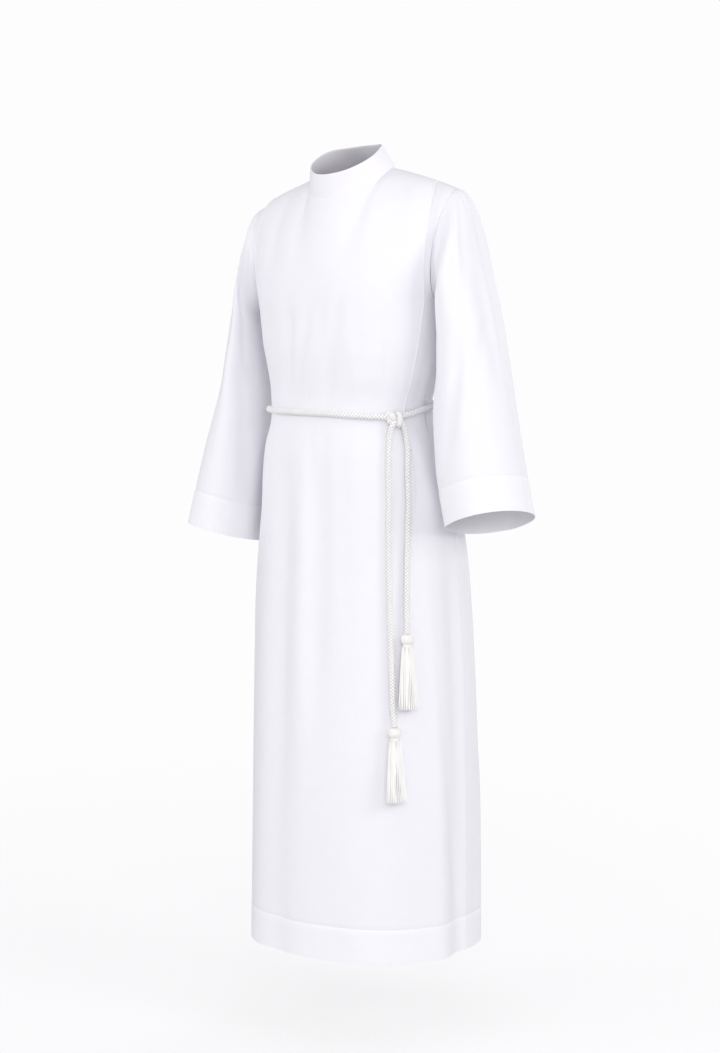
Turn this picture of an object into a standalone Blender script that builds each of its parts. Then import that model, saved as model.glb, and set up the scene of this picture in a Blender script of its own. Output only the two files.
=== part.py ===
# An alb: a floor-length white robe with bell sleeves, a stand collar and a rope cincture.
# It keeps the hollow form that it has when worn. Metres, +Z up, front towards -Y, the
# wearer's left towards +X, and the origin at the centre of the neck at shoulder level.
#
# Every cloth piece is a grid of points on the middle of the cloth. Its wall is made by
# moving the grid half a wall out and half a wall in, along the grid's own normals.
# Two coordinates place a point of the body: "across" runs from 0 at the centre line to
# 1 at the side seam, and "level" is a height up to the underarm and, above it, the
# nominal length of cloth that climbs from there over the chest to the shoulder.

import math
from collections import namedtuple

import bmesh
import bpy
import numpy as np

# cloth
WALL = 0.0012
SEAM_GAP = 0.0003
SEAM_EXTRA = 0.0004
HEM_FOLD = 0.064
CUFF_FOLD = 0.065
SHARP_EDGE = math.radians(50)

# levels
HEM_LEVEL = -1.443
BELT_LEVEL = -0.430
UNDERARM_LEVEL = -0.235
TOP_LEVEL = -0.010

# neck and stand collar
NECK_HALF_WIDTH = 0.0765
NECK_HALF_DEPTH = 0.080
NECK_TILT = math.radians(26.5)
NECK_BACK_EASE = 1.1
NECK_RISE = 0.002
COLLAR_HEIGHT = 0.036
COLLAR_SEAM = 0.0021
COLLAR_TILT = math.radians(27)
COLLAR_WALL = 0.0024
COLLAR_TAPER = 0.163
COLLAR_FORWARD = 0.021
COLLAR_ROWS = 5
COLLAR_COLUMNS = 41
# how far across the body the neckline ends, and where on its ring that is
NECK_ACROSS = 0.30
SEAM_TURN = math.radians(-12)

# shoulders: the wearer's left one is carried higher, so the upper body leans
SHOULDER_HALF_WIDTH = 0.2075
SHOULDER_SIDEWAYS = 0.004
SHOULDER_DROP = 0.043
SHOULDER_BACK = 0.018
LEAN = 0.095
SHOULDER_SEAM_ARCH = 0.003
# where the cloth comes up over the chest: how late it moves sideways, and its last slopes
CHEST_EASE = 1.6
NECK_SLOPE = math.radians(62)
SHOULDER_SLOPE = math.radians(84)
ARMHOLE_PULL = 4
# a soft roll that lies across the back below the shoulder seam
BACK_RIDGE = 0.003
BACK_RIDGE_CLIMB = 0.84
BACK_RIDGE_WIDTH = 0.09

# rope cincture
ROPE_DIAMETER = 0.010
ROPE_REST = 0.0020
BELT_POINTS = 46
# the rope rides out over each pleat, at this turn from the side seam
PLEAT_TURN = math.radians(21.6)
PLEAT_BUMP = 0.0038
PLEAT_BUMP_FRONT = math.radians(38)
PLEAT_BUMP_SIDE = math.radians(12)
TAIL_SPACING = 0.028
KNOT_TURN = math.radians(30)
KNOT_CLEAR_LEFT = math.radians(6)
KNOT_CLEAR_RIGHT = math.radians(6)
KNOT_OUT = 0.003

# how far the rope runs over its level: turn is 0 at the wearer's left and 90 degrees in front
Rise = namedtuple("Rise", "turn rise")
BELT_RISE = (
    Rise(-180, -0.0030),
    Rise(-90, 0.0040),
    Rise(-20, 0.0110),
    Rise(5, 0.0075),
    Rise(30, -0.0035),
    Rise(60, -0.0020),
    Rise(90, 0.0000),
    Rise(180, -0.0030),
)

# how far above and below the rope the body follows it up and down
PINCH_REACH = 0.07

# the tails' routes down the skirt: height is the rope's middle over the middle of the cloth
Hang = namedtuple("Hang", "level place height")
TAIL_LEFT = (
    Hang(-0.4490, 0.660, 0.0110),
    Hang(-0.4600, 0.640, 0.0105),
    Hang(-0.4880, 0.608, 0.0100),
    Hang(-0.5500, 0.547, 0.0080),
    Hang(-0.6430, 0.499, 0.0070),
    Hang(-0.7360, 0.478, 0.0070),
    Hang(-0.8440, 0.469, 0.0075),
    Hang(-0.9370, 0.469, 0.0095),
    Hang(-0.9990, 0.475, 0.0135),
)
TAIL_RIGHT = (
    Hang(-0.4500, 0.751, 0.0120),
    Hang(-0.4600, 0.746, 0.0110),
    Hang(-0.4870, 0.731, 0.0108),
    Hang(-0.5490, 0.668, 0.0100),
    Hang(-0.6420, 0.611, 0.0080),
    Hang(-0.7350, 0.577, 0.0090),
    Hang(-0.8280, 0.559, 0.0135),
)
TASSEL_AIM = {"left": Hang(-1.136, 0.472, 0.0135), "right": Hang(-0.965, 0.544, 0.0135)}

# the knot's bulges: place and half size along the rope, outwards and up
Lobe = namedtuple("Lobe", "place size")
LOBE_SIDES = 10
LOBE_RINGS = 5
KNOT = (
    Lobe((0.0005, 0.000, -0.002), (0.0080, 0.0055, 0.0085)),
    Lobe((-0.0082, 0.001, -0.002), (0.0082, 0.0065, 0.0092)),
    Lobe((-0.0035, 0.004, 0.003), (0.0050, 0.0065, 0.0085)),
    Lobe((0.0074, 0.002, -0.005), (0.0062, 0.0070, 0.0150)),
)

# tassels: a turned head, then strands whose roots share the head's lower face
TASSEL_SECTORS = 20
TASSEL_GAP = 0.0009
TASSEL_FLATNESS = 0.80
TASSEL_LEAN = 0.04
STRAND_MARGIN = 0.12
STRAND_GROWTH = 0.35
Turned = namedtuple("Turned", "depth radius")
TASSEL_HEAD = (
    Turned(0.0000, 0.0050),
    Turned(0.0015, 0.0085),
    Turned(0.0060, 0.0115),
    Turned(0.0110, 0.0120),
    Turned(0.0165, 0.0100),
    Turned(0.0195, 0.0078),
    Turned(0.0225, 0.0078),
    Turned(0.0250, 0.0094),
)
TASSEL_RINGS = ((1.0, 0.66), (0.66, 0.32))
TASSEL_SKIRT = (
    Turned(0.0050, 0.0100),
    Turned(0.0550, 0.0145),
    Turned(0.1120, 0.0190),
)

# the rows that follow the rope's pinch in the cloth, from its level
BELT_ROWS = (-0.045, -0.018, 0.0, 0.018, 0.045)
HEM_STEP = 0.002
ROW_CLEAR_HEM = 0.03
ROW_CLEAR_BELT = 0.02

# resolution of the grids
FRONT_COLUMNS = 9
SIDE_COLUMNS = 5
BACK_COLUMNS = 13
TRUNK_ROWS = 13
SHOULDER_ROWS = 9
SLEEVE_COLUMNS = 28
SLEEVE_ROWS = 16

Section = namedtuple("Section", "height half_width front_depth back_depth back sideways squareness")
TRUNK = (
    Section(-1.443, 0.216, 0.204, 0.170, 0.044, 0.012, 2.50),
    Section(-1.200, 0.213, 0.198, 0.164, 0.044, 0.012, 2.45),
    Section(-0.950, 0.209, 0.184, 0.150, 0.042, 0.011, 2.40),
    Section(-0.750, 0.203, 0.168, 0.138, 0.037, 0.009, 2.35),
    Section(-0.600, 0.191, 0.149, 0.129, 0.026, 0.006, 2.30),
    Section(-0.500, 0.171, 0.124, 0.122, 0.006, 0.003, 2.25),
    Section(-0.456, 0.156, 0.113, 0.113, 0.000, 0.002, 2.20),
    Section(-0.430, 0.153, 0.111, 0.111, 0.000, 0.002, 2.20),
    Section(-0.404, 0.156, 0.113, 0.113, 0.000, 0.003, 2.20),
    Section(-0.360, 0.164, 0.120, 0.120, 0.000, 0.008, 2.30),
    Section(-0.300, 0.172, 0.126, 0.124, 0.000, 0.008, 2.40),
    Section(-0.235, 0.176, 0.127, 0.125, 0.000, 0.006, 2.40),
)

# The pleat between the front and each side panel: how far across it runs, how much of its
# fold is closed, and how much of its height it keeps.
Pleat = namedtuple("Pleat", "level place closed lift")
PLEAT = (
    Pleat(-1.443, 0.77, 0.00, 0.30),
    Pleat(-1.000, 0.77, 0.00, 0.30),
    Pleat(-0.750, 0.77, 0.00, 0.55),
    Pleat(-0.600, 0.76, 0.10, 1.00),
    Pleat(-0.500, 0.75, 0.90, 1.00),
    Pleat(-0.430, 0.765, 1.00, 0.94),
    Pleat(-0.360, 0.775, 1.00, 1.00),
    Pleat(-0.300, 0.795, 1.00, 1.00),
    Pleat(-0.235, 0.83, 1.00, 1.00),
    Pleat(-0.120, 0.88, 1.00, 1.00),
    Pleat(-0.060, 0.84, 1.00, 1.00),
    Pleat(-0.010, 0.79, 1.00, 1.00),
)
LAYER = 0.0020
PLEAT_DEPTH = 0.008
PLEAT_RAMP = 0.060
# The cloth's path through a closed pleat: how far it goes sideways, in pleat depths and in
# half layers, and its height in layers. The front folds under at the pleat's edge, and
# the side panel starts below that fold, where the seam between them is hidden.
Step = namedtuple("Step", "sideways turned layer")
PLEAT_FRONT = (
    Step(-1.6, 0, 2.0),
    Step(-0.8, 0, 2.0),
    Step(0.0, 0, 2.0),
    Step(0.0, 1, 1.55),
    Step(0.0, 0, 1.1),
    Step(-1.0, 0, 1.15),
)
PLEAT_SIDE = (Step(-1.0, 0, 0.0), Step(0.0, 0, 0.0), Step(0.8, 0, 0.0))
# below this closed share both panels level out to meet edge to edge
PLEAT_PARTS = 0.1

# The largest folds: face is -1 on the front and 1 on the back, places run from -1 at the
# wearer's right side seam to 1 at the left one, bend says how late a fold moves from its
# first place to its last, and a negative depth is a trough.
Fold = namedtuple("Fold", "face first_place last_place top bottom bend width depth")
FOLDS = (
    # front, above the rope
    Fold(-1, -0.34, -0.47, -0.200, -0.430, 2.0, 0.050, -0.005),
    Fold(-1, -0.10, -0.40, -0.190, -0.430, 1.5, 0.045, -0.004),
    Fold(-1, 0.22, 0.02, -0.190, -0.430, 1.0, 0.050, -0.004),
    Fold(-1, 0.52, 0.57, -0.240, -0.430, 1.0, 0.030, -0.003),
    Fold(-1, 0.85, 0.82, -0.250, -0.430, 1.0, 0.060, -0.006),
    Fold(-1, -0.85, -0.82, -0.250, -0.430, 1.0, 0.060, -0.006),
    Fold(-1, 0.55, 0.67, -0.030, -0.200, 1.0, 0.050, -0.003),
    Fold(-1, -0.55, -0.58, -0.040, -0.200, 1.0, 0.050, -0.003),
    # front, below the rope
    Fold(-1, -0.45, -0.285, -0.430, -1.443, 0.4, 0.075, -0.009),
    Fold(-1, -0.20, -0.110, -0.430, -1.300, 0.5, 0.080, 0.004),
    Fold(-1, 0.02, -0.030, -0.430, -1.050, 0.7, 0.080, -0.007),
    Fold(-1, 0.70, 0.745, -0.560, -1.443, 0.6, 0.075, 0.006),
    Fold(-1, 0.88, 0.895, -0.560, -1.443, 0.6, 0.075, -0.0065),
    Fold(-1, -0.72, -0.775, -0.560, -1.443, 0.6, 0.075, 0.006),
    Fold(-1, -0.89, -0.905, -0.560, -1.443, 0.6, 0.060, -0.008),
    # back, above and below the rope
    Fold(1, -0.30, -0.24, -0.170, -0.430, 1.0, 0.050, -0.005),
    Fold(1, 0.34, 0.28, -0.160, -0.430, 1.0, 0.050, -0.005),
    Fold(1, 0.68, 0.60, -0.200, -0.430, 1.0, 0.060, -0.006),
    Fold(1, -0.70, -0.64, -0.220, -0.430, 1.0, 0.060, -0.006),
    Fold(1, -0.22, -0.36, -0.430, -1.443, 0.5, 0.075, -0.009),
    Fold(1, 0.26, 0.32, -0.430, -1.200, 0.5, 0.070, -0.008),
    Fold(1, 0.58, 0.68, -0.430, -1.443, 0.5, 0.075, -0.008),
    Fold(1, -0.62, -0.74, -0.430, -1.300, 0.5, 0.075, -0.008),
)

# how far from a side seam the folds start, and over what share of its length each fades in
SEAM_PLAIN = 0.06
FOLD_FADE = 0.3

# armholes: how far the seam runs in towards the centre, in front and behind
ARMHOLE_REACH = {-1: 0.055, 1: 0.075}
ARMHOLE_INSET = {-1: 0.002, 1: 0.004}

# sleeves, from the underarm down: the outer and inner lines as seen from the front
Ring = namedtuple("Ring", "along outer_x outer_z inner_x inner_z middle_y depth tilt squareness")
SLEEVE_LEFT = (
    Ring(0.20, 0.262, -0.122, 0.204, -0.262, 0.000, 0.090, 0.05, 2.1),
    Ring(0.40, 0.301, -0.255, 0.202, -0.330, -0.006, 0.088, 0.09, 2.1),
    Ring(0.60, 0.329, -0.385, 0.201, -0.420, -0.010, 0.089, 0.13, 2.1),
    Ring(0.80, 0.352, -0.492, 0.209, -0.533, -0.015, 0.093, 0.17, 2.1),
    Ring(1.00, 0.376, -0.600, 0.232, -0.646, -0.020, 0.096, 0.21, 2.1),
)
SLEEVE_RIGHT = (
    Ring(0.20, 0.214, -0.170, 0.192, -0.285, 0.000, 0.084, 0.05, 2.1),
    Ring(0.40, 0.242, -0.300, 0.188, -0.365, -0.006, 0.082, 0.08, 2.1),
    Ring(0.60, 0.269, -0.435, 0.188, -0.465, -0.010, 0.083, 0.11, 2.1),
    Ring(0.80, 0.297, -0.550, 0.195, -0.575, -0.015, 0.087, 0.14, 2.1),
    Ring(1.00, 0.324, -0.663, 0.205, -0.688, -0.020, 0.090, 0.16, 2.1),
)
SLEEVES = {1: SLEEVE_LEFT, -1: SLEEVE_RIGHT}
SLEEVE_LENGTH = 0.55
CUFF_STEP = 0.004
# how the sleeve's head leaves the armhole: outwards, down at the top and down under the arm
SLEEVE_LEAVES = 0.074
HEAD_DROP = 0.015
HEAD_DROP_UNDER = 0.010
# how far the sleeve's edge stands off the armhole at the top, and how much more under the arm
HEAD_GAP = 0.0006
HEAD_GAP_UNDER = 0.0012

# sleeve folds: turn is in degrees, 0 outside, 90 in front and 180 next to the body
Crease = namedtuple("Crease", "side first_turn last_turn top bottom width depth")
CREASES = (
    Crease(1, 62, 118, 0.36, 0.86, 15, -0.007),
    Crease(1, 20, 12, 0.22, 0.62, 16, -0.006),
    Crease(1, 150, 140, 0.45, 1.05, 16, 0.005),
    Crease(1, 235, 300, 0.30, 0.85, 18, -0.008),
    Crease(1, 275, 262, 0.55, 1.05, 16, 0.005),
    Crease(-1, 75, 50, 0.22, 0.62, 15, -0.006),
    Crease(-1, 120, 150, 0.35, 0.90, 16, -0.006),
    Crease(-1, 30, 45, 0.55, 1.05, 18, 0.005),
    Crease(-1, 300, 240, 0.28, 0.88, 18, -0.008),
    Crease(-1, 330, 340, 0.45, 0.95, 16, -0.005),
)


def column(rows, name):
    return np.array([getattr(row, name) for row in rows], float)


def smooth(x):
    x = np.clip(x, 0.0, 1.0)
    return x * x * (3 - 2 * x)


def through(keys, values, at):
    """Smooth curve through the keyed values that never overshoots them."""
    step = np.diff(keys)
    rise = np.diff(values) / step
    slope = np.zeros(len(keys))
    same = rise[:-1] * rise[1:] > 0
    total = np.where(same, rise[:-1] + rise[1:], 1.0)
    slope[1:-1] = np.where(same, 2 * rise[:-1] * rise[1:] / total, 0.0)
    slope[0], slope[-1] = rise[0], rise[-1]
    at = np.clip(at, keys[0], keys[-1])
    i = np.clip(np.searchsorted(keys, at, side="right") - 1, 0, len(step) - 1)
    t = (at - keys[i]) / step[i]
    start = (1 + 2 * t) * (1 - t) ** 2 * values[i] + t * (1 - t) ** 2 * step[i] * slope[i]
    end = t * t * (3 - 2 * t) * values[i + 1] - t * t * (1 - t) * step[i] * slope[i + 1]
    return start + end


def table(rows, key, at):
    """Every column of a table as a smooth curve over its key column."""
    keys = column(rows, key)
    names = [name for name in rows[0]._fields if name != key]
    return {name: through(keys, column(rows, name), at) for name in names}


def fold_height(face, place, level):
    """How far the folds move the cloth outwards."""
    total = np.zeros(np.broadcast(place, level).shape)
    for fold in FOLDS:
        if fold.face != face:
            continue
        length = fold.top - fold.bottom
        down = np.clip((fold.top - level) / length, 0, 1)
        middle = fold.first_place + (fold.last_place - fold.first_place) * down**fold.bend
        fade = smooth((fold.top - level) / (FOLD_FADE * length))
        if fold.bottom > HEM_LEVEL:
            fade = fade * smooth((level - fold.bottom) / (FOLD_FADE * length))
        total = total + fold.depth * fade * np.exp(-(((place - middle) / fold.width) ** 2))
    return total * smooth((1 - np.abs(place)) / SEAM_PLAIN)


def belt_rise(degrees):
    degrees = np.mod(degrees + 180, 360) - 180
    return table(BELT_RISE, "turn", degrees)["rise"]


def superellipse(cosine, sine, width, depth, power):
    """Distance from the middle to a rounded box's rim, this way."""
    return (np.abs(cosine / width) ** power + np.abs(sine / depth) ** power) ** (-1 / power)


def trunk(side, face, across, height, folded=True):
    """The body below the arms: superellipse sections."""
    angle = (1 - across) * math.pi / 2
    turn = -face * np.degrees(angle if side > 0 else math.pi - angle)
    shift = belt_rise(turn) * np.exp(-(((height - BELT_LEVEL) / PINCH_REACH) ** 2))
    section = table(TRUNK, "height", height - shift)
    cosine, sine = np.cos(angle), np.sin(angle)
    depth = section["front_depth"] if face < 0 else section["back_depth"]
    radius = superellipse(cosine, sine, section["half_width"], depth, section["squareness"])
    if folded:
        radius = radius + fold_height(face, side * across, height)
    x = section["sideways"] + side * radius * cosine
    y = section["back"] + face * radius * sine
    return np.stack(np.broadcast_arrays(x, y, height), axis=-1)


def neck_ring(turn, rise=0.0):
    """The neckline and the collar's rings, which climb towards the back and level out there.

    Turn is 0 at the wearer's left and 90 degrees in front.
    """
    share = rise / COLLAR_HEIGHT
    tilt = NECK_TILT + (COLLAR_TILT - NECK_TILT) * share
    size = 1 - COLLAR_TAPER * share
    x = NECK_HALF_WIDTH * size * np.cos(turn)
    y = -NECK_HALF_DEPTH * size * np.sin(turn)
    behind = np.maximum(y, 0)
    eased = y - NECK_BACK_EASE * behind**2 / (2 * NECK_HALF_DEPTH)
    z = eased * np.tan(tilt) + rise + NECK_RISE
    y = y - COLLAR_FORWARD * share
    return np.stack(np.broadcast_arrays(x, y, z), axis=-1)


def shoulder_tip(side):
    x = side * SHOULDER_HALF_WIDTH + SHOULDER_SIDEWAYS
    return np.array([x, SHOULDER_BACK, -SHOULDER_DROP])


def top_line(side, face, across):
    """Where the body ends at the top: the neckline, then the shoulder seam out to its tip."""
    share = np.clip(across / NECK_ACROSS, 0, 1)
    start = math.pi / 2 if face < 0 else -math.pi / 2
    turn = start + (SEAM_TURN - start) * share
    neck = neck_ring(turn)
    neck[..., 0] *= side
    point = neck_ring(np.array(SEAM_TURN))
    point[0] *= side
    out = np.clip((across - NECK_ACROSS) / (1 - NECK_ACROSS), 0, 1)[..., None]
    tip = shoulder_tip(side)
    seam = point + (tip - point) * out
    seam[..., 2] += SHOULDER_SEAM_ARCH * (4 * out * (1 - out))[..., 0]
    return np.where((across <= NECK_ACROSS)[..., None], neck, seam)


def armhole(side, face, turn):
    """The armhole: turn is 0 at the shoulder's tip and 180 degrees under the arm."""
    tip = shoulder_tip(side)
    under = trunk(side, face, np.array(1.0), np.array(UNDERARM_LEVEL), folded=False)
    cosine, sine = np.cos(turn)[..., None], np.sin(turn)[..., None]
    point = (tip + under) / 2 + (tip - under) / 2 * cosine
    forward = np.array([0.0, face * ARMHOLE_REACH[face], 0.0])
    inward = np.array([-side * ARMHOLE_INSET[face], 0.0, 0.0])
    return point + forward * sine + inward * sine**2


def climb_share(climb, last):
    """How far the cloth has gone in X, Y and Z where it turns from upright to the last slope."""
    y = (1 - np.cos(last * climb)) / (1 - np.cos(last))
    z = np.sin(last * climb) / np.sin(last)
    return np.stack(np.broadcast_arrays(climb**CHEST_EASE, y, z), axis=-1)


def chest(side, face, across, climb):
    """The body above the underarm: climb runs from 0 there to 1 at the neckline or shoulder seam."""
    under = np.full(np.shape(across), UNDERARM_LEVEL)
    start = trunk(side, face, across, under, folded=False)
    end = top_line(side, face, across)
    out = smooth((across - 0.5 * NECK_ACROSS) / (0.8 * NECK_ACROSS))
    slope = NECK_SLOPE + (SHOULDER_SLOPE - NECK_SLOPE) * out
    point = start + (end - start) * climb_share(climb, slope)
    edge = trunk(side, face, np.array(1.0), np.array(UNDERARM_LEVEL), folded=False)
    edge = edge + (shoulder_tip(side) - edge) * climb_share(climb, SHOULDER_SLOPE)
    pull = armhole(side, face, math.pi * (1 - climb)) - edge
    point = point + pull * (across**ARMHOLE_PULL)[..., None]
    level = UNDERARM_LEVEL + (TOP_LEVEL - UNDERARM_LEVEL) * climb
    lift = fold_height(face, side * across, level)
    if face > 0:
        window = smooth((across - 0.35) / 0.2) * smooth((1 - across) / 0.15)
        away = (climb - BACK_RIDGE_CLIMB) / BACK_RIDGE_WIDTH
        lift = lift + BACK_RIDGE * window * np.exp(-(away**2))
    angle = (1 - across) * math.pi / 2
    turned = climb * math.pi / 2
    flat = np.stack([side * np.cos(angle), face * np.sin(angle), 0 * angle], axis=-1)
    outwards = flat * np.cos(turned)[..., None]
    outwards = outwards + np.array([0.0, 0.0, 1.0]) * np.sin(turned)[..., None]
    return point + outwards * lift[..., None]


def body(side, face, across, level):
    across, level = np.broadcast_arrays(np.asarray(across, float), np.asarray(level, float))
    low = trunk(side, face, across, np.minimum(level, UNDERARM_LEVEL))
    climb = np.clip((level - UNDERARM_LEVEL) / (TOP_LEVEL - UNDERARM_LEVEL), 0, 1)
    high = chest(side, face, across, climb)
    point = np.where((level <= UNDERARM_LEVEL)[..., None], low, high)
    return lean(point)


def lean(point):
    point = np.array(point)
    share = smooth((point[..., 2] - BELT_LEVEL) / (0.75 * -BELT_LEVEL))
    point[..., 2] += LEAN * point[..., 0] * share
    return point


def grid_normals(points, wrap=False):
    """Outward normals of a grid whose rows climb and whose columns run from -X towards +X in front."""
    if wrap:
        along = np.roll(points, -1, axis=1) - np.roll(points, 1, axis=1)
    else:
        along = np.gradient(points, axis=1)
    up = np.gradient(points, axis=0)
    normal = np.cross(along, up)
    return normal / np.linalg.norm(normal, axis=-1, keepdims=True)


def new_object(name, vertices, faces, material):
    mesh = bpy.data.meshes.new(name)
    mesh.from_pydata(vertices, [], faces)
    mesh.shade_smooth()
    mesh.set_sharp_from_angle(angle=SHARP_EDGE)
    mesh.materials.append(material)
    thing = bpy.data.objects.new(name, mesh)
    bpy.context.scene.collection.objects.link(thing)
    return thing


def solid_object(name, vertices, faces, material):
    """A closed mesh, with every face turned outwards."""
    thing = new_object(name, vertices, faces, material)
    bm = bmesh.new()
    bm.from_mesh(thing.data)
    bmesh.ops.recalc_face_normals(bm, faces=bm.faces)
    bm.to_mesh(thing.data)
    bm.free()
    return thing


def cloth_object(name, points, material, inside=None, wrap=False, wall=WALL):
    """A grid of points on the middle of the cloth as one closed wall."""
    rows, columns = points.shape[:2]
    normal = grid_normals(points, wrap)
    depth = np.full((rows, 1, 1), wall / 2) if inside is None else inside.reshape(rows, 1, 1)
    outer = (points + normal * wall / 2).reshape(-1, 3)
    inner = (points - normal * depth).reshape(-1, 3)
    index = np.arange(rows * columns).reshape(rows, columns)
    if wrap:
        index = np.concatenate([index, index[:, :1]], axis=1)
    a, b = index[:-1, :-1].ravel(), index[:-1, 1:].ravel()
    c, d = index[1:, 1:].ravel(), index[1:, :-1].ravel()
    count = rows * columns
    faces = [np.stack([a, b, c, d], 1), np.stack([d, c, b, a], 1) + count]
    rims = [(index[0, :-1], index[0, 1:], 1), (index[-1, :-1], index[-1, 1:], -1)]
    if not wrap:
        rims += [(index[:-1, 0], index[1:, 0], -1), (index[:-1, -1], index[1:, -1], 1)]
    for first, second, way in rims:
        rim = np.stack([first, first + count, second + count, second], 1)
        faces.append(rim[:, ::way])
    vertices = np.concatenate([outer, inner]).tolist()
    return new_object(name, vertices, np.concatenate(faces).tolist(), material)


def body_levels():
    """Rows of the body, from the hem up, with a close pair where the turned-up hem ends."""
    low = HEM_LEVEL + (UNDERARM_LEVEL - HEM_LEVEL) * np.linspace(0, 1, TRUNK_ROWS + 1)
    keep = low[np.abs(low - (HEM_LEVEL + HEM_FOLD)) > ROW_CLEAR_HEM]
    fold = np.array([HEM_LEVEL + HEM_FOLD, HEM_LEVEL + HEM_FOLD + HEM_STEP])
    belt = BELT_LEVEL + np.array(BELT_ROWS)
    keep = keep[(keep < belt[0] - ROW_CLEAR_BELT) | (keep > belt[-1] + ROW_CLEAR_BELT)]
    low = np.sort(np.concatenate([keep, fold, belt]))
    climb = np.linspace(0, 1, SHOULDER_ROWS + 1)[1:]
    high = UNDERARM_LEVEL + (TOP_LEVEL - UNDERARM_LEVEL) * climb
    return np.concatenate([low, high])


def hem_inside(levels, end):
    """The wall's inner half, one cloth thicker where the hem is turned up."""
    return np.where(levels < end + HEM_STEP / 2, WALL * 1.5 + SEAM_GAP, WALL / 2)


def metres_across(side, face, place, level):
    step = 0.01
    ahead = body(side, face, place + step, level)
    behind = body(side, face, place - step, level)
    return np.linalg.norm(ahead - behind, axis=-1) / (2 * step)


def pleat_columns(side, levels, steps, last):
    """How far across a panel's columns in the pleat are, and their height in layers."""
    pleat = table(PLEAT, "level", levels)
    scale = metres_across(side, -1, pleat["place"], levels)[:, None]
    sideways = column(steps, "sideways") * PLEAT_DEPTH + column(steps, "turned") * LAYER / 2
    start, end = (sideways[0], 0.0) if last else (0.0, sideways[-1])
    flat = np.linspace(start, end, len(steps))
    closed = pleat["closed"][:, None]
    across = pleat["place"][:, None] + (flat + (sideways - flat) * closed) / scale
    layers = column(steps, "layer")
    flat_layers = np.linspace(layers[0], 0.0, len(steps))
    level_out = smooth(1 - closed / PLEAT_PARTS)
    return across, layers + (flat_layers - layers) * level_out, scale


def front_half(side, levels):
    """Half of the front panel, from the centre line to its edge under the pleat."""
    pleat_across, layers, scale = pleat_columns(side, levels, PLEAT_FRONT, True)
    first = pleat_across[:, :1] * np.linspace(0, 1, FRONT_COLUMNS + 1)[None, :-1]
    distance = (pleat_across[:, :1] - first) * scale
    rise = layers[:, :1] * smooth(1 - distance / PLEAT_RAMP)
    across = np.concatenate([first, pleat_across], axis=1)
    lift = table(PLEAT, "level", levels)["lift"][:, None] * LAYER
    return across, np.concatenate([rise, layers], axis=1) * lift


def surface_with_lift(side, face, across, lift, levels):
    level = levels[:, None] + 0 * across
    step = 0.002
    point = body(side, face, across, level)
    along = body(side, face, across + step, level) - body(side, face, across - step, level)
    top = np.minimum(level + step, TOP_LEVEL)
    up = body(side, face, across, top) - body(side, face, across, top - 2 * step)
    normal = np.cross(along, up) * (-side * face)
    normal /= np.linalg.norm(normal, axis=-1, keepdims=True)
    return point + normal * lift[..., None]


def seam_back(edge, inner, gap):
    """Moves an edge column or row back from a seam."""
    way = inner - edge
    way /= np.linalg.norm(way, axis=-1, keepdims=True)
    return edge + way * gap


def finish_edges(points, top=True):
    """Moves the two side edges, and the top one, back from their seams."""
    points = np.array(points)
    gap = SEAM_GAP / 2 + SEAM_EXTRA
    points[:, 0] = seam_back(points[:, 0], points[:, 1], gap)
    points[:, -1] = seam_back(points[:, -1], points[:, -2], gap)
    if top:
        points[-1] = seam_back(points[-1], points[-2], gap)
    return points


def make_front(material):
    levels = body_levels()
    halves = []
    for side in (-1, 1):
        across, lift = front_half(side, levels)
        half = surface_with_lift(side, -1, across, lift, levels)
        halves.append(half)
    points = np.concatenate([halves[0][:, ::-1], halves[1][:, 1:]], axis=1)
    points = finish_edges(points)
    return cloth_object("front", points, material, hem_inside(levels, HEM_LEVEL + HEM_FOLD))


def make_front_side(side, name, material):
    """The strip from the seam hidden in the pleat round to the side seam."""
    levels = body_levels()
    pleat_across = pleat_columns(side, levels, PLEAT_SIDE, False)[0]
    share = np.linspace(0, 1, SIDE_COLUMNS + 1)[None, 1:]
    rest = pleat_across[:, -1:] + (1 - pleat_across[:, -1:]) * share
    across = np.concatenate([pleat_across, rest], axis=1)
    points = surface_with_lift(side, -1, across, 0 * across, levels)
    if side < 0:
        points = points[:, ::-1]
    points = finish_edges(points)
    return cloth_object(name, points, material, hem_inside(levels, HEM_LEVEL + HEM_FOLD))


def make_back(side, name, material):
    levels = body_levels()
    across = np.linspace(0, 1, BACK_COLUMNS + 1)[None, :] + 0 * levels[:, None]
    points = surface_with_lift(side, 1, across, 0 * across, levels)
    if side > 0:
        points = points[:, ::-1]
    points = finish_edges(points)
    return cloth_object(name, points, material, hem_inside(levels, HEM_LEVEL + HEM_FOLD))


def sleeve_ring(side, turn, along):
    """The sleeve below its head: turn is 0 outside, 90 degrees in front and 180 inside."""
    ring = table(SLEEVES[side], "along", along)
    cosine, sine = np.cos(turn), np.sin(turn)
    size = superellipse(cosine, sine, 1.0, 1.0, ring["squareness"])
    cosine, sine = cosine * size, sine * size
    x = (ring["outer_x"] + ring["inner_x"]) / 2 + (ring["outer_x"] - ring["inner_x"]) / 2 * cosine
    z = (ring["outer_z"] + ring["inner_z"]) / 2 + (ring["outer_z"] - ring["inner_z"]) / 2 * cosine
    y = ring["middle_y"] - ring["depth"] * sine
    z = z + ring["depth"] * sine * ring["tilt"]
    return np.stack([side * x, y, z], axis=-1)


def crease_height(side, turn, along):
    """How far the folds move a sleeve's cloth outwards."""
    total = np.zeros(np.broadcast(turn, along).shape)
    for crease in CREASES:
        if crease.side != side:
            continue
        share = np.clip((along - crease.top) / (crease.bottom - crease.top), 0, 1)
        middle = crease.first_turn + (crease.last_turn - crease.first_turn) * share
        away = np.mod(np.degrees(turn) - middle + 180, 360) - 180
        fade = smooth(share / FOLD_FADE)
        if crease.bottom <= 1:
            fade = fade * smooth((1 - share) / FOLD_FADE)
        total = total + crease.depth * fade * np.exp(-((away / crease.width) ** 2))
    return total


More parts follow.
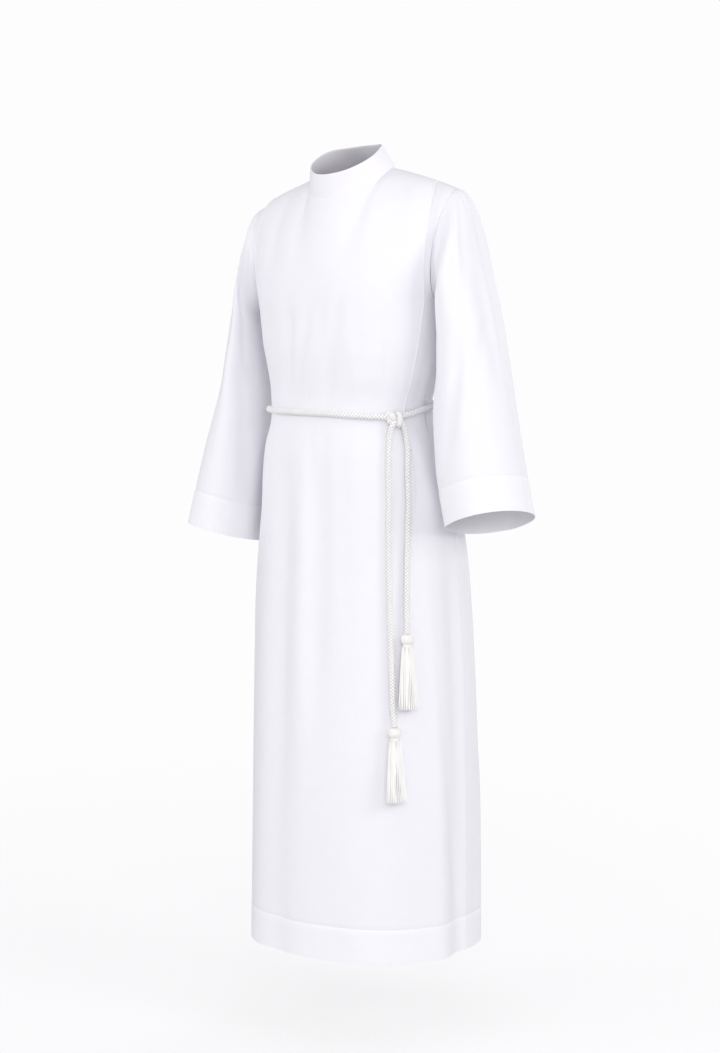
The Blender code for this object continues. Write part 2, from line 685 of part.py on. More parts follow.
def sleeve(side, turn, along):
    """The whole sleeve: a smooth head from the armhole to the first ring, then the rings."""
    turn, along = np.broadcast_arrays(np.asarray(turn, float), np.asarray(along, float))
    first = SLEEVES[side][0].along
    round_turn = np.mod(turn, 2 * math.pi)
    front = round_turn <= math.pi
    edge_front = armhole(side, -1, np.minimum(round_turn, math.pi))
    edge_back = armhole(side, 1, 2 * math.pi - np.maximum(round_turn, math.pi))
    edge = lean(np.where(front[..., None], edge_front, edge_back))
    low = (1 - np.cos(turn)) / 2
    edge[..., 0] += side * (HEAD_GAP + HEAD_GAP_UNDER * low**3)
    step = 0.01
    ring = sleeve_ring(side, turn, np.full(turn.shape, first))
    ring_next = sleeve_ring(side, turn, np.full(turn.shape, first + step))
    end_way = (ring_next - ring) / step * first
    drop = HEAD_DROP + HEAD_DROP_UNDER * low
    start_way = np.stack([side * (SLEEVE_LEAVES + 0 * turn), 0 * turn, -drop], axis=-1)
    t = np.clip(along / first, 0, 1)[..., None]
    head = (1 + 2 * t) * (1 - t) ** 2 * edge + t * (1 - t) ** 2 * start_way
    head = head + t * t * (3 - 2 * t) * ring - t * t * (1 - t) * end_way
    rings = sleeve_ring(side, turn, np.maximum(along, first))
    points = np.where((along <= first)[..., None], head, rings)
    axis = (rings + sleeve_ring(side, turn + math.pi, np.maximum(along, first))) / 2
    return points + unit(rings - axis) * crease_height(side, turn, along)[..., None]


def make_sleeve(side, name, material):
    cuff = 1 - CUFF_FOLD / SLEEVE_LENGTH
    upper = np.linspace(0, cuff - CUFF_STEP, SLEEVE_ROWS)
    along = np.concatenate([upper, [cuff, (1 + cuff) / 2, 1.0]])[::-1]
    turn = np.linspace(0, 2 * math.pi, SLEEVE_COLUMNS, endpoint=False)
    if side < 0:
        turn = turn[::-1]
    points = sleeve(side, -turn[None, :], along[:, None])
    inside = np.where(along > cuff - 0.001, WALL * 1.5 + SEAM_GAP, WALL / 2)
    return cloth_object(name, points, material, inside, wrap=True)


def make_collar(material):
    """A doubled band whose ends meet behind."""
    rises = np.linspace(COLLAR_SEAM, COLLAR_HEIGHT, COLLAR_ROWS)
    turn = np.linspace(-math.pi / 2, 3 * math.pi / 2, COLLAR_COLUMNS)[::-1]
    points = lean(neck_ring(turn[None, :], rises[:, None]))
    points = finish_edges(points, top=False)
    return cloth_object("collar_band", points, material, wall=COLLAR_WALL)


def unit(vector):
    return vector / np.linalg.norm(vector, axis=-1, keepdims=True)


def skin(level, place, height):
    """A point of the front, this high above the middle of the cloth, and the way outwards there."""
    side = 1 if place >= 0 else -1
    across = np.array([[abs(place)]])
    levels = np.array([level])
    on = surface_with_lift(side, -1, across, np.array([[0.0]]), levels)[0, 0]
    off = surface_with_lift(side, -1, across, np.array([[0.001]]), levels)[0, 0]
    out = unit(off - on)
    return on + out * height, out


def waist(turn):
    """The rope's middle round the waist: turn is 0 at the wearer's left, 90 degrees in front."""
    section = table(TRUNK, "height", np.array(BELT_LEVEL))
    depth = np.where(np.sin(turn) > 0, section["front_depth"], section["back_depth"])
    width = section["half_width"]
    radius = superellipse(np.cos(turn), np.sin(turn), width, depth, section["squareness"])
    radius = radius + ROPE_DIAMETER / 2 + ROPE_REST
    for side in (0, 1):
        pleat_turn = math.pi * side + (1 - 2 * side) * PLEAT_TURN
        forward = (np.mod(turn - pleat_turn + math.pi, 2 * math.pi) - math.pi) * (1 - 2 * side)
        reach = np.where(forward > 0, PLEAT_BUMP_FRONT, PLEAT_BUMP_SIDE)
        radius = radius + PLEAT_BUMP * smooth(1.25 - np.abs(forward) / reach)
    x = section["sideways"] + radius * np.cos(turn)
    y = section["back"] - radius * np.sin(turn)
    z = BELT_LEVEL + belt_rise(np.degrees(turn))
    return np.stack(np.broadcast_arrays(x, y, z), axis=-1)


def rope(name, points, material):
    """A bare rope as a tube along its route."""
    curve = bpy.data.curves.new(name, "CURVE")
    curve.dimensions = "3D"
    curve.bevel_depth = ROPE_DIAMETER / 2
    curve.bevel_resolution = 2
    curve.use_fill_caps = True
    spline = curve.splines.new("POLY")
    spline.points.add(len(points) - 1)
    for target, point in zip(spline.points, points):
        target.co = (*point, 1.0)
    curve.materials.append(material)
    thing = bpy.data.objects.new(name, curve)
    bpy.context.scene.collection.objects.link(thing)
    return thing


def smooth_route(route, spacing):
    """Evenly spaced points on a smooth curve through a route's own points."""
    route = np.array(route, float)
    lengths = np.concatenate([[0.0], np.cumsum(np.linalg.norm(np.diff(route, axis=0), axis=1))])
    fine = np.linspace(0, lengths[-1], 400)
    curve = np.stack([through(lengths, route[:, k], fine) for k in range(3)], axis=1)
    walked = np.concatenate([[0.0], np.cumsum(np.linalg.norm(np.diff(curve, axis=0), axis=1))])
    count = max(2, int(round(walked[-1] / spacing)) + 1)
    at = np.linspace(0, walked[-1], count)
    return np.stack([np.interp(at, walked, curve[:, k]) for k in range(3)], axis=1)


def make_belt(material):
    start = KNOT_TURN + KNOT_CLEAR_LEFT
    end = KNOT_TURN + 2 * math.pi - KNOT_CLEAR_RIGHT
    rope("belt_loop", waist(np.linspace(start, end, BELT_POINTS)), material)


def make_lobe(name, place, size, material):
    """One bulge of the knot, placed along the rope, outwards and up."""
    along, out, centre = knot_frame()
    up = np.array([0.0, 0.0, 1.0])
    turns = np.linspace(0, 2 * math.pi, LOBE_SIDES, endpoint=False)
    slopes = np.linspace(-math.pi / 2, math.pi / 2, LOBE_RINGS + 2)[1:-1]
    ring = np.stack(
        np.broadcast_arrays(
            np.cos(slopes)[:, None] * np.cos(turns)[None, :],
            np.cos(slopes)[:, None] * np.sin(turns)[None, :],
            np.sin(slopes)[:, None],
        ),
        axis=-1,
    ).reshape(-1, 3)
    local = np.concatenate([ring, [[0, 0, -1.0]], [[0, 0, 1.0]]]) * np.array(size) + np.array(place)
    vertices = centre + local[:, :1] * along + local[:, 1:2] * out + local[:, 2:] * up
    faces = []
    rows, columns = len(slopes), len(turns)
    for j in range(columns):
        k = (j + 1) % columns
        faces.append((rows * columns, k, j))
        faces.append((rows * columns + 1, (rows - 1) * columns + j, (rows - 1) * columns + k))
        for i in range(rows - 1):
            faces.append((i * columns + j, i * columns + k, (i + 1) * columns + k, (i + 1) * columns + j))
    return solid_object(name, vertices.tolist(), faces, material)


def knot_frame():
    """The knot's middle, with the ways along the rope (towards the wearer's left) and outwards."""
    step = 0.01
    before, after = waist(np.array([KNOT_TURN + step, KNOT_TURN - step]))
    along = unit(np.array([after[0] - before[0], after[1] - before[1], 0.0]))
    out = np.array([along[1], -along[0], 0.0])
    centre = waist(np.array(KNOT_TURN)) + out * KNOT_OUT
    return along, out, centre


def make_knot(material):
    lobes = []
    for i, lobe in enumerate(KNOT):
        name = f"knot_lobe_{i}" if i else "belt_knot"
        lobes.append(make_lobe(name, lobe.place, lobe.size, material))
    for other in lobes[1:]:
        union = lobes[0].modifiers.new("join_" + other.name, "BOOLEAN")
        union.operation = "UNION"
        union.solver = "EXACT"
        union.object = other
        other.hide_render = True
        other.display_type = "WIRE"


def tail_route(rows):
    levels = np.linspace(rows[0].level, rows[-1].level, 120)
    keys = -column(rows, "level")
    places = through(keys, column(rows, "place"), -levels)
    heights = through(keys, column(rows, "height"), -levels)
    return smooth_route([skin(*at)[0] for at in zip(levels, places, heights)], TAIL_SPACING)


def make_tassel(name, top, aim, material):
    """A turned head under the rope's end, with strands that hang from its lower face."""
    down = unit(aim - top)
    out = unit(np.array([top[0], top[1], 0.0]))
    out = unit(out - down * (out @ down))
    sideways = np.cross(down, out)
    turns = np.linspace(0, 2 * math.pi, TASSEL_SECTORS, endpoint=False)

    def ring(depth, radius, turn=turns):
        flat = np.cos(turn)[:, None] * sideways * radius
        flat = flat + np.sin(turn)[:, None] * out * radius * TASSEL_FLATNESS
        lean_out = out * TASSEL_LEAN * max(depth - TASSEL_HEAD[-1].depth, 0.0)
        return top + down * (TASSEL_GAP + depth) + flat + lean_out

    vertices = []
    faces = []
    for row in TASSEL_HEAD:
        vertices.extend(ring(row.depth, row.radius))
    count = TASSEL_SECTORS
    faces.append(tuple(range(count)))
    for i in range(len(TASSEL_HEAD) - 1):
        for j in range(count):
            k = (j + 1) % count
            faces.append((i * count + j, (i + 1) * count + j, (i + 1) * count + k, i * count + k))
    outer = [(len(TASSEL_HEAD) - 1) * count + j for j in range(count)]
    root = TASSEL_HEAD[-1]
    for share_out, share_in in TASSEL_RINGS:
        inner = [len(vertices) + j for j in range(count)]
        vertices.extend(ring(root.depth, root.radius * share_in))
        for j in range(count):
            k = (j + 1) % count
            cell = (outer[j], inner[j], inner[k], outer[k])
            faces.extend(strand(vertices, cell, root, share_out, share_in, turns[j], ring))
        outer = inner
    faces.append(tuple(outer[::-1]))
    return solid_object(name, [tuple(v) for v in vertices], faces, material)


def strand(vertices, cell, root, share_out, share_in, turn, ring):
    """One strand, grown from a cell of the head's lower face and joined to the cell's rim."""
    sector = 2 * math.pi / TASSEL_SECTORS
    margin = STRAND_MARGIN
    corners = (
        (share_out - (share_out - share_in) * margin, turn + sector * margin),
        (share_in + (share_out - share_in) * margin, turn + sector * margin),
        (share_in + (share_out - share_in) * margin, turn + sector * (1 - margin)),
        (share_out - (share_out - share_in) * margin, turn + sector * (1 - margin)),
    )
    middle_share = (share_out + share_in) / 2
    middle_turn = turn + sector / 2
    faces = []
    below = cell
    for row in TASSEL_SKIRT:
        spread = row.radius / root.radius
        centre = ring(root.depth + row.depth, row.radius * middle_share, np.array([middle_turn]))[0]
        flat_centre = ring(root.depth + row.depth, root.radius * middle_share, np.array([middle_turn]))[0]
        current = []
        for share, angle in corners:
            corner = ring(root.depth + row.depth, root.radius * share, np.array([angle]))[0]
            current.append(len(vertices))
            vertices.append(centre + (corner - flat_centre) * (1 + (spread - 1) * STRAND_GROWTH))
        for i in range(4):
            k = (i + 1) % 4
            faces.append((below[i], below[k], current[k], current[i]))
        below = current
    faces.append(tuple(below))
    return faces


def cloth_material(name, colour):
    material = bpy.data.materials.new(name)
    material.use_nodes = True
    shader = material.node_tree.nodes["Principled BSDF"]
    shader.inputs["Base Color"].default_value = (*colour, 1.0)
    shader.inputs["Roughness"].default_value = 0.85
    shader.inputs["Metallic"].default_value = 0.0
    return material


def main():
    for thing in list(bpy.data.objects):
        bpy.data.objects.remove(thing)
    robe = cloth_material("robe_cloth", (0.90, 0.90, 0.93))
    collar = cloth_material("collar_cloth", (0.91, 0.91, 0.94))
    make_front(robe)
    make_front_side(1, "front_side_left", robe)
    make_front_side(-1, "front_side_right", robe)
    make_back(1, "back_left", robe)
    make_back(-1, "back_right", robe)
    make_sleeve(1, "sleeve_left", robe)
    make_sleeve(-1, "sleeve_right", robe)
    make_collar(collar)
    cotton = cloth_material("rope_cotton", (0.88, 0.87, 0.86))
    tassel_cotton = cloth_material("tassel_cotton", (0.89, 0.88, 0.87))
    make_belt(cotton)
    make_knot(cotton)
    for name, rows in (("left", TAIL_LEFT), ("right", TAIL_RIGHT)):
        aim = skin(*TASSEL_AIM[name])[0]
        route = tail_route(rows)
        rope("rope_tail_" + name, route, cotton)
        make_tassel("tassel_" + name, route[-1], aim, tassel_cotton)


main()
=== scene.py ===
import math

import bpy
import numpy as np
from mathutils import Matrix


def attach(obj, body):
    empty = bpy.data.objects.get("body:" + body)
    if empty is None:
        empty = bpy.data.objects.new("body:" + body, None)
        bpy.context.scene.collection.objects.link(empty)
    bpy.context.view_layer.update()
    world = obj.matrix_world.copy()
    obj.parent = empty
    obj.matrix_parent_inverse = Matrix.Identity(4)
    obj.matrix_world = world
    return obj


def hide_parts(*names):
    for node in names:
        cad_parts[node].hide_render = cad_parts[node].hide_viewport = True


# Looks of a white alb with a rope cincture. Metres, +Z up, the front towards -Y, the
# wearer's left towards +X, and the origin at the centre of the neck.
# side is 1 on the wearer's left and -1 on the right. face is -1 in front and 1 behind.
# across runs from 0 at the middle to 1 at the side seam, and place is side times across.
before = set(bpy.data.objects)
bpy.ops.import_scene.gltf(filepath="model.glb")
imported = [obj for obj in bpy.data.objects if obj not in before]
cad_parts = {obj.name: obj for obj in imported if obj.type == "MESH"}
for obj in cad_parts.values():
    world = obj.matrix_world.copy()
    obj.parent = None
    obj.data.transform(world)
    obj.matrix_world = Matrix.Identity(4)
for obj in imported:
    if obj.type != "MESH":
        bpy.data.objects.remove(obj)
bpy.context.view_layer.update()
print("frame loaded")


# camera: 30 degrees round to the wearer's left, a little above the waist, 5 m away
view = {"azimuth": 30.0, "distance": 5.0, "height": -0.02, "aside": 0.0149, "down": 7.2, "lens": 91.79}


def makeCamera():
    turn = math.radians(view["azimuth"])
    camera = bpy.data.objects.new("camera", bpy.data.cameras.new("camera"))
    camera.data.sensor_fit = "VERTICAL"
    camera.data.sensor_height = 36.0
    camera.data.lens = view["lens"]
    x = view["distance"] * math.sin(turn) + view["aside"] * math.cos(turn)
    y = -view["distance"] * math.cos(turn) + view["aside"] * math.sin(turn)
    camera.location = (x, y, view["height"])
    camera.rotation_euler = (math.radians(90 - view["down"]), 0.0, turn)
    bpy.context.scene.collection.objects.link(camera)
    bpy.context.scene.camera = camera


makeCamera()


def eased(x):  # 0 to 1 with a soft start and a soft end
    x = np.clip(x, 0.0, 1.0)
    return x * x * (3 - 2 * x)


def bell(away, width):  # 1 in the middle, fading to both sides
    return np.exp(-((away / width) ** 2))


def unit(vectors):
    return vectors / np.linalg.norm(vectors, axis=-1, keepdims=True)


def walkedAlong(points):  # how far along a line each of its points is
    return np.concatenate([[0.0], np.cumsum(np.linalg.norm(np.diff(points, axis=0), axis=1))])


def pointsAt(line, walked, at):  # straight between the line's points
    return np.stack([np.interp(at, walked, line[:, k]) for k in range(3)], axis=1)


def curveThrough(keys, values, at):  # cubic pieces through the values that never overshoot them
    keys, values = np.asarray(keys, float), np.asarray(values, float)
    step = np.diff(keys)
    rise = np.diff(values) / step
    slope = np.zeros(len(keys))
    same = rise[:-1] * rise[1:] > 0
    total = np.where(same, rise[:-1] + rise[1:], 1.0)
    slope[1:-1] = np.where(same, 2 * rise[:-1] * rise[1:] / total, 0.0)
    slope[0], slope[-1] = rise[0], rise[-1]
    at = np.clip(at, keys[0], keys[-1])
    i = np.clip(np.searchsorted(keys, at, side="right") - 1, 0, len(step) - 1)
    t = (at - keys[i]) / step[i]
    start = (1 + 2 * t) * (1 - t) ** 2 * values[i] + t * (1 - t) ** 2 * step[i] * slope[i]
    end = t * t * (3 - 2 * t) * values[i + 1] - t * t * (1 - t) * step[i] * slope[i + 1]
    return start + end


def readColumns(sheet, key, at):  # every column of a table as a smooth curve over its key column
    return {name: curveThrough(sheet[key], sheet[name], at) for name in sheet if name != key}


# the form of the body: sections from the hem up to the underarm, then over the chest

levels = {"hem": -1.443, "belt": -0.430, "underarm": -0.235, "top": -0.010}
hem = {"band": 0.064, "wall": 0.0008, "rows": 236, "stitchesBelow": 0.003}

# back and sideways move a section, and squareness is the power of its superellipse
sections = {
    "height": (-1.443, -1.2, -0.95, -0.75, -0.6, -0.5, -0.456, -0.43, -0.404, -0.36, -0.3, -0.235),
    "halfWidth": (0.216, 0.213, 0.209, 0.203, 0.191, 0.171, 0.156, 0.153, 0.156, 0.164, 0.172, 0.176),
    "frontDepth": (0.204, 0.198, 0.184, 0.168, 0.149, 0.124, 0.113, 0.111, 0.113, 0.12, 0.126, 0.127),
    "backDepth": (0.17, 0.164, 0.15, 0.138, 0.129, 0.122, 0.113, 0.111, 0.113, 0.12, 0.124, 0.125),
    "back": (0.044, 0.044, 0.042, 0.037, 0.026, 0.006, 0.0, 0.0, 0.0, 0.0, 0.0, 0.0),
    "sideways": (0.012, 0.012, 0.011, 0.009, 0.006, 0.003, 0.002, 0.002, 0.003, 0.008, 0.008, 0.006),
    "squareness": (2.5, 2.45, 2.4, 2.35, 2.3, 2.25, 2.2, 2.2, 2.2, 2.3, 2.4, 2.4),
}

neck = {
    "halfWidth": 0.0765, "halfDepth": 0.080, "tilt": 26.5, "backEase": 1.1, "rise": 0.002, "across": 0.30,
    "seamTurn": -12.0, "collarHeight": 0.036, "collarTilt": 27.0, "taper": 0.163, "forward": 0.021,
    "collarWall": 0.0024,
}

shoulder = {
    "halfWidth": 0.2075, "sideways": 0.004, "drop": 0.043, "back": 0.018, "lean": 0.095, "ease": 1.6,
    "neckSlope": 62.0, "tipSlope": 84.0, "seamArch": 0.003,
    "backRidge": 0.003, "ridgeClimb": 0.84, "ridgeWidth": 0.09,
    "armholeReach": {-1: 0.055, 1: 0.075}, "armholeInset": {-1: 0.002, 1: 0.004},
}

# how far the rope runs over its level, by its turn round the waist: 0 is the wearer's left
beltRise = {
    "turn": (-180, -90, -20, 5, 30, 60, 90, 180),
    "rise": (-0.003, 0.004, 0.011, 0.0075, -0.0035, -0.002, 0.0, -0.003),
}
beltReach = 0.07  # the cloth follows the rope's rise this far above and below it

foldFade = 0.3  # share of a fold's length over which each end fades
seamCalm = 0.06  # folds die out this close to the side seam

# largest folds: face, first and last place, top, bottom, bend, width across, depth
largeFolds = (
    (-1, -0.34, -0.47, -0.200, -0.430, 2.0, 0.060, -0.004),
    (-1, -0.10, -0.40, -0.190, -0.430, 1.5, 0.055, -0.003),
    (-1, 0.22, 0.02, -0.190, -0.430, 1.0, 0.060, -0.003),
    (-1, 0.52, 0.57, -0.240, -0.430, 1.0, 0.030, -0.003),
    (-1, 0.90, 0.88, -0.250, -0.430, 1.0, 0.050, -0.002),
    (-1, -0.85, -0.82, -0.250, -0.430, 1.0, 0.060, -0.006),
    (-1, 0.55, 0.67, -0.030, -0.200, 1.0, 0.060, -0.0015),
    (-1, -0.55, -0.58, -0.040, -0.200, 1.0, 0.060, -0.0018),
    (-1, 0.80, 0.82, -0.436, -0.640, 1.0, 0.100, 0.006),
    (-1, -0.45, -0.285, -0.430, -1.443, 0.4, 0.095, -0.0075),
    (-1, -0.20, -0.110, -0.430, -1.300, 0.5, 0.080, 0.004),
    (-1, 0.02, -0.030, -0.430, -1.050, 0.7, 0.085, -0.0055),
    (-1, 0.70, 0.745, -0.560, -1.443, 0.6, 0.075, 0.006),
    (-1, 0.88, 0.895, -0.560, -1.443, 0.6, 0.075, -0.0065),
    (-1, -0.72, -0.775, -0.560, -1.443, 0.6, 0.075, 0.006),
    (-1, -0.89, -0.905, -0.560, -1.443, 0.6, 0.060, -0.008),
    (1, -0.30, -0.24, -0.170, -0.430, 1.0, 0.050, -0.005),
    (1, 0.34, 0.28, -0.160, -0.430, 1.0, 0.050, -0.005),
    (1, 0.68, 0.60, -0.200, -0.430, 1.0, 0.060, -0.006),
    (1, -0.70, -0.64, -0.220, -0.430, 1.0, 0.060, -0.006),
    (1, -0.22, -0.36, -0.430, -1.443, 0.5, 0.075, -0.009),
    (1, 0.26, 0.32, -0.430, -1.200, 0.5, 0.070, -0.008),
    (1, 0.58, 0.68, -0.430, -1.443, 0.5, 0.075, -0.008),
    (1, -0.62, -0.74, -0.430, -1.300, 0.5, 0.075, -0.008),
)


def largeFoldHeight(face, place, level):  # bell-shaped ridges and troughs along lines that run down
    total = np.zeros(np.broadcast(place, level).shape)
    for side, first, last, top, bottom, bend, width, depth in largeFolds:
        if side != face:
            continue
        length = top - bottom
        down = np.clip((top - level) / length, 0, 1)
        middle = first + (last - first) * down**bend
        fade = eased((top - level) / (foldFade * length))
        if bottom > levels["hem"]:
            fade = fade * eased((level - bottom) / (foldFade * length))
        total = total + depth * fade * bell(place - middle, width)
    return total * eased((1 - np.abs(place)) / seamCalm)


def beltRiseAt(degrees):  # the rope's rise, this way round the waist
    degrees = np.mod(degrees + 180, 360) - 180
    return readColumns(beltRise, "turn", degrees)["rise"]


def roundedRadius(cosine, sine, width, depth, power):  # radius of a superellipse, this way
    return (np.abs(cosine / width) ** power + np.abs(sine / depth) ** power) ** (-1 / power)


def trunkPoint(side, face, across, height, folded=True):  # a superellipse section at every height
    angle = (1 - across) * math.pi / 2
    turn = -face * np.degrees(angle if side > 0 else math.pi - angle)
    shift = beltRiseAt(turn) * bell(height - levels["belt"], beltReach)
    cut = readColumns(sections, "height", height - shift)
    cosine, sine = np.cos(angle), np.sin(angle)
    depth = cut["frontDepth"] if face < 0 else cut["backDepth"]
    radius = roundedRadius(cosine, sine, cut["halfWidth"], depth, cut["squareness"])
    if folded:
        radius = radius + largeFoldHeight(face, side * across, height)
    x = cut["sideways"] + side * radius * cosine
    y = cut["back"] + face * radius * sine
    return np.stack(np.broadcast_arrays(x, y, height), axis=-1)


def neckRing(turn, rise=0.0):  # a tilted ellipse that narrows as it rises and levels out behind
    share = rise / neck["collarHeight"]
    tilt = np.radians(neck["tilt"] + (neck["collarTilt"] - neck["tilt"]) * share)
    size = 1 - neck["taper"] * share
    x = neck["halfWidth"] * size * np.cos(turn)
    y = -neck["halfDepth"] * size * np.sin(turn)
    climbing = y - neck["backEase"] * np.maximum(y, 0) ** 2 / (2 * neck["halfDepth"])
    z = climbing * np.tan(tilt) + rise + neck["rise"]
    return np.stack(np.broadcast_arrays(x, y - neck["forward"] * share, z), axis=-1)


def shoulderTip(side):
    x = side * shoulder["halfWidth"] + shoulder["sideways"]
    return np.array([x, shoulder["back"], -shoulder["drop"]])


def topLine(side, face, across):  # the neckline, then the shoulder seam out to its tip
    share = np.clip(across / neck["across"], 0, 1)
    seamTurn = math.radians(neck["seamTurn"])
    start = math.pi / 2 if face < 0 else -math.pi / 2
    ring = neckRing(start + (seamTurn - start) * share)
    ring[..., 0] *= side
    point = neckRing(np.array(seamTurn))
    point[0] *= side
    out = np.clip((across - neck["across"]) / (1 - neck["across"]), 0, 1)[..., None]
    seam = point + (shoulderTip(side) - point) * out
    seam[..., 2] += shoulder["seamArch"] * (4 * out * (1 - out))[..., 0]
    return np.where((across <= neck["across"])[..., None], ring, seam)


def armholePoint(side, face, turn):  # half a loop from the shoulder's tip to under the arm
    tip = shoulderTip(side)
    under = trunkPoint(side, face, np.array(1.0), np.array(levels["underarm"]), folded=False)
    cosine, sine = np.cos(turn)[..., None], np.sin(turn)[..., None]
    point = (tip + under) / 2 + (tip - under) / 2 * cosine
    forward = np.array([0.0, face * shoulder["armholeReach"][face], 0.0])
    inward = np.array([-side * shoulder["armholeInset"][face], 0.0, 0.0])
    return point + forward * sine + inward * sine**2


def climbShare(climb, last):  # shares of the way in X, Y and Z where the cloth turns over the chest
    y = (1 - np.cos(last * climb)) / (1 - np.cos(last))
    z = np.sin(last * climb) / np.sin(last)
    return np.stack(np.broadcast_arrays(climb ** shoulder["ease"], y, z), axis=-1)


def chestPoint(side, face, across, climb):  # a quarter turn from the underarm up to the neck and shoulder
    under = np.full(np.shape(across), levels["underarm"])
    start = trunkPoint(side, face, across, under, folded=False)
    out = eased((across - 0.5 * neck["across"]) / (0.8 * neck["across"]))
    tipSlope = math.radians(shoulder["tipSlope"])
    slope = math.radians(shoulder["neckSlope"]) * (1 - out) + tipSlope * out
    point = start + (topLine(side, face, across) - start) * climbShare(climb, slope)
    edge = trunkPoint(side, face, np.array(1.0), np.array(levels["underarm"]), folded=False)
    edge = edge + (shoulderTip(side) - edge) * climbShare(climb, tipSlope)
    pull = armholePoint(side, face, math.pi * (1 - climb)) - edge
    point = point + pull * (across**4)[..., None]
    level = levels["underarm"] + (levels["top"] - levels["underarm"]) * climb
    lift = largeFoldHeight(face, side * across, level)
    if face > 0:
        window = eased((across - 0.35) / 0.2) * eased((1 - across) / 0.15)
        ridge = bell(climb - shoulder["ridgeClimb"], shoulder["ridgeWidth"])
        lift = lift + shoulder["backRidge"] * window * ridge
    angle = (1 - across) * math.pi / 2
    turned = (climb * math.pi / 2)[..., None]
    flat = np.stack([side * np.cos(angle), face * np.sin(angle), 0 * angle], axis=-1)
    outwards = flat * np.cos(turned) + np.array([0.0, 0.0, 1.0]) * np.sin(turned)
    return point + outwards * lift[..., None]


def leant(point):  # the wearer's left shoulder is carried higher
    share = eased((point[..., 2] - levels["belt"]) / (0.75 * -levels["belt"]))
    point[..., 2] += shoulder["lean"] * point[..., 0] * share
    return point


def bodyPoint(side, face, across, level):  # a section up to the underarm, the chest above it
    across, level = np.broadcast_arrays(np.asarray(across, float), np.asarray(level, float))
    low = trunkPoint(side, face, across, np.minimum(level, levels["underarm"]))
    climb = np.clip((level - levels["underarm"]) / (levels["top"] - levels["underarm"]), 0, 1)
    high = chestPoint(side, face, across, climb)
    return leant(np.where((level <= levels["underarm"])[..., None], low, high))


def bodySurface(side, face, across, level, lift):  # the body moved out along its own normal
    step = 0.002
    level = level + 0 * across
    point = bodyPoint(side, face, across, level)
    along = bodyPoint(side, face, across + step, level) - bodyPoint(side, face, across - step, level)
    top = np.minimum(level + step, levels["top"])
    up = bodyPoint(side, face, across, top) - bodyPoint(side, face, across, top - 2 * step)
    normal = unit(np.cross(along, up)) * (-side * face)
    return point + normal * lift[..., None]


print("forms ready")


# smaller creases that only the finished cloth has

# each crease: its line as (level, place) pairs, its width and its depth in metres
frontCreases = (
    (((-0.02, -0.06), (-0.068, -0.025), (-0.168, 0.005)), 0.016, -0.0006),
    (((-0.05, 0.16), (-0.12, 0.19), (-0.19, 0.18)), 0.022, -0.0006),
    (((-0.04, -0.30), (-0.10, -0.27), (-0.18, -0.30)), 0.020, -0.0005),
    (((-0.053, 0.455), (-0.114, 0.595), (-0.179, 0.675)), 0.020, -0.0008),
    (((-0.091, -0.60), (-0.13, -0.56), (-0.20, -0.48)), 0.018, -0.0010),
    (((-0.21, 0.455), (-0.30, 0.44)), 0.014, 0.0007),
    (((-0.25, 0.60), (-0.325, 0.54)), 0.012, -0.0008),
    (((-0.22, -0.345), (-0.31, -0.375), (-0.415, -0.465)), 0.012, -0.0007),
    (((-0.21, -0.11), (-0.27, -0.20), (-0.35, -0.325), (-0.415, -0.44)), 0.011, -0.0006),
    (((-0.19, -0.04), (-0.27, 0.015), (-0.34, 0.045), (-0.415, 0.04)), 0.018, -0.0012),
    (((-0.21, 0.22), (-0.31, 0.10), (-0.40, 0.05)), 0.013, -0.0005),
    (((-0.27, 0.30), (-0.36, 0.34), (-0.42, 0.36)), 0.012, 0.0008),
    (((-0.283, 0.685), (-0.40, 0.715)), 0.006, -0.0010),
    (((-0.34, 0.84), (-0.38, 0.88), (-0.42, 0.90)), 0.012, -0.0006),
    (((-0.34, -0.66), (-0.42, -0.70)), 0.010, -0.0010),
    (((-0.30, -0.80), (-0.42, -0.86)), 0.012, -0.0012),
    (((-0.36, -0.28), (-0.424, -0.26)), 0.006, -0.0009),
    (((-0.375, -0.20), (-0.424, -0.17)), 0.006, -0.0008),
    (((-0.436, -0.56), (-0.50, -0.52), (-0.635, -0.43), (-0.86, -0.39), (-1.20, -0.34)), 0.022, -0.0013),
    (((-0.436, -0.32), (-0.52, -0.26), (-0.70, -0.20), (-0.98, -0.19)), 0.020, 0.0014),
    (((-0.436, -0.15), (-0.50, -0.12), (-0.60, -0.10)), 0.010, -0.0009),
    (((-0.50, -0.09), (-0.63, -0.07), (-0.76, -0.06), (-0.92, -0.05)), 0.018, -0.0010),
    (((-0.436, 0.18), (-0.53, 0.20), (-0.68, 0.22), (-0.86, 0.22)), 0.018, -0.0009),
    (((-0.436, 0.36), (-0.50, 0.35), (-0.62, 0.34)), 0.012, 0.0008),
    (((-0.50, 0.75), (-0.538, 0.735), (-0.60, 0.69)), 0.005, 0.0013),
    (((-0.436, 0.93), (-0.50, 0.94), (-0.58, 0.95)), 0.012, -0.0014),
    (((-0.56, 0.95), (-0.70, 0.93), (-0.965, 0.91), (-1.25, 0.90), (-1.443, 0.90)), 0.014, -0.0020),
    (((-1.00, -0.62), (-1.20, -0.60), (-1.443, -0.58)), 0.024, -0.0010),
    (((-1.10, 0.30), (-1.28, 0.33), (-1.443, 0.34)), 0.028, -0.0008),
)

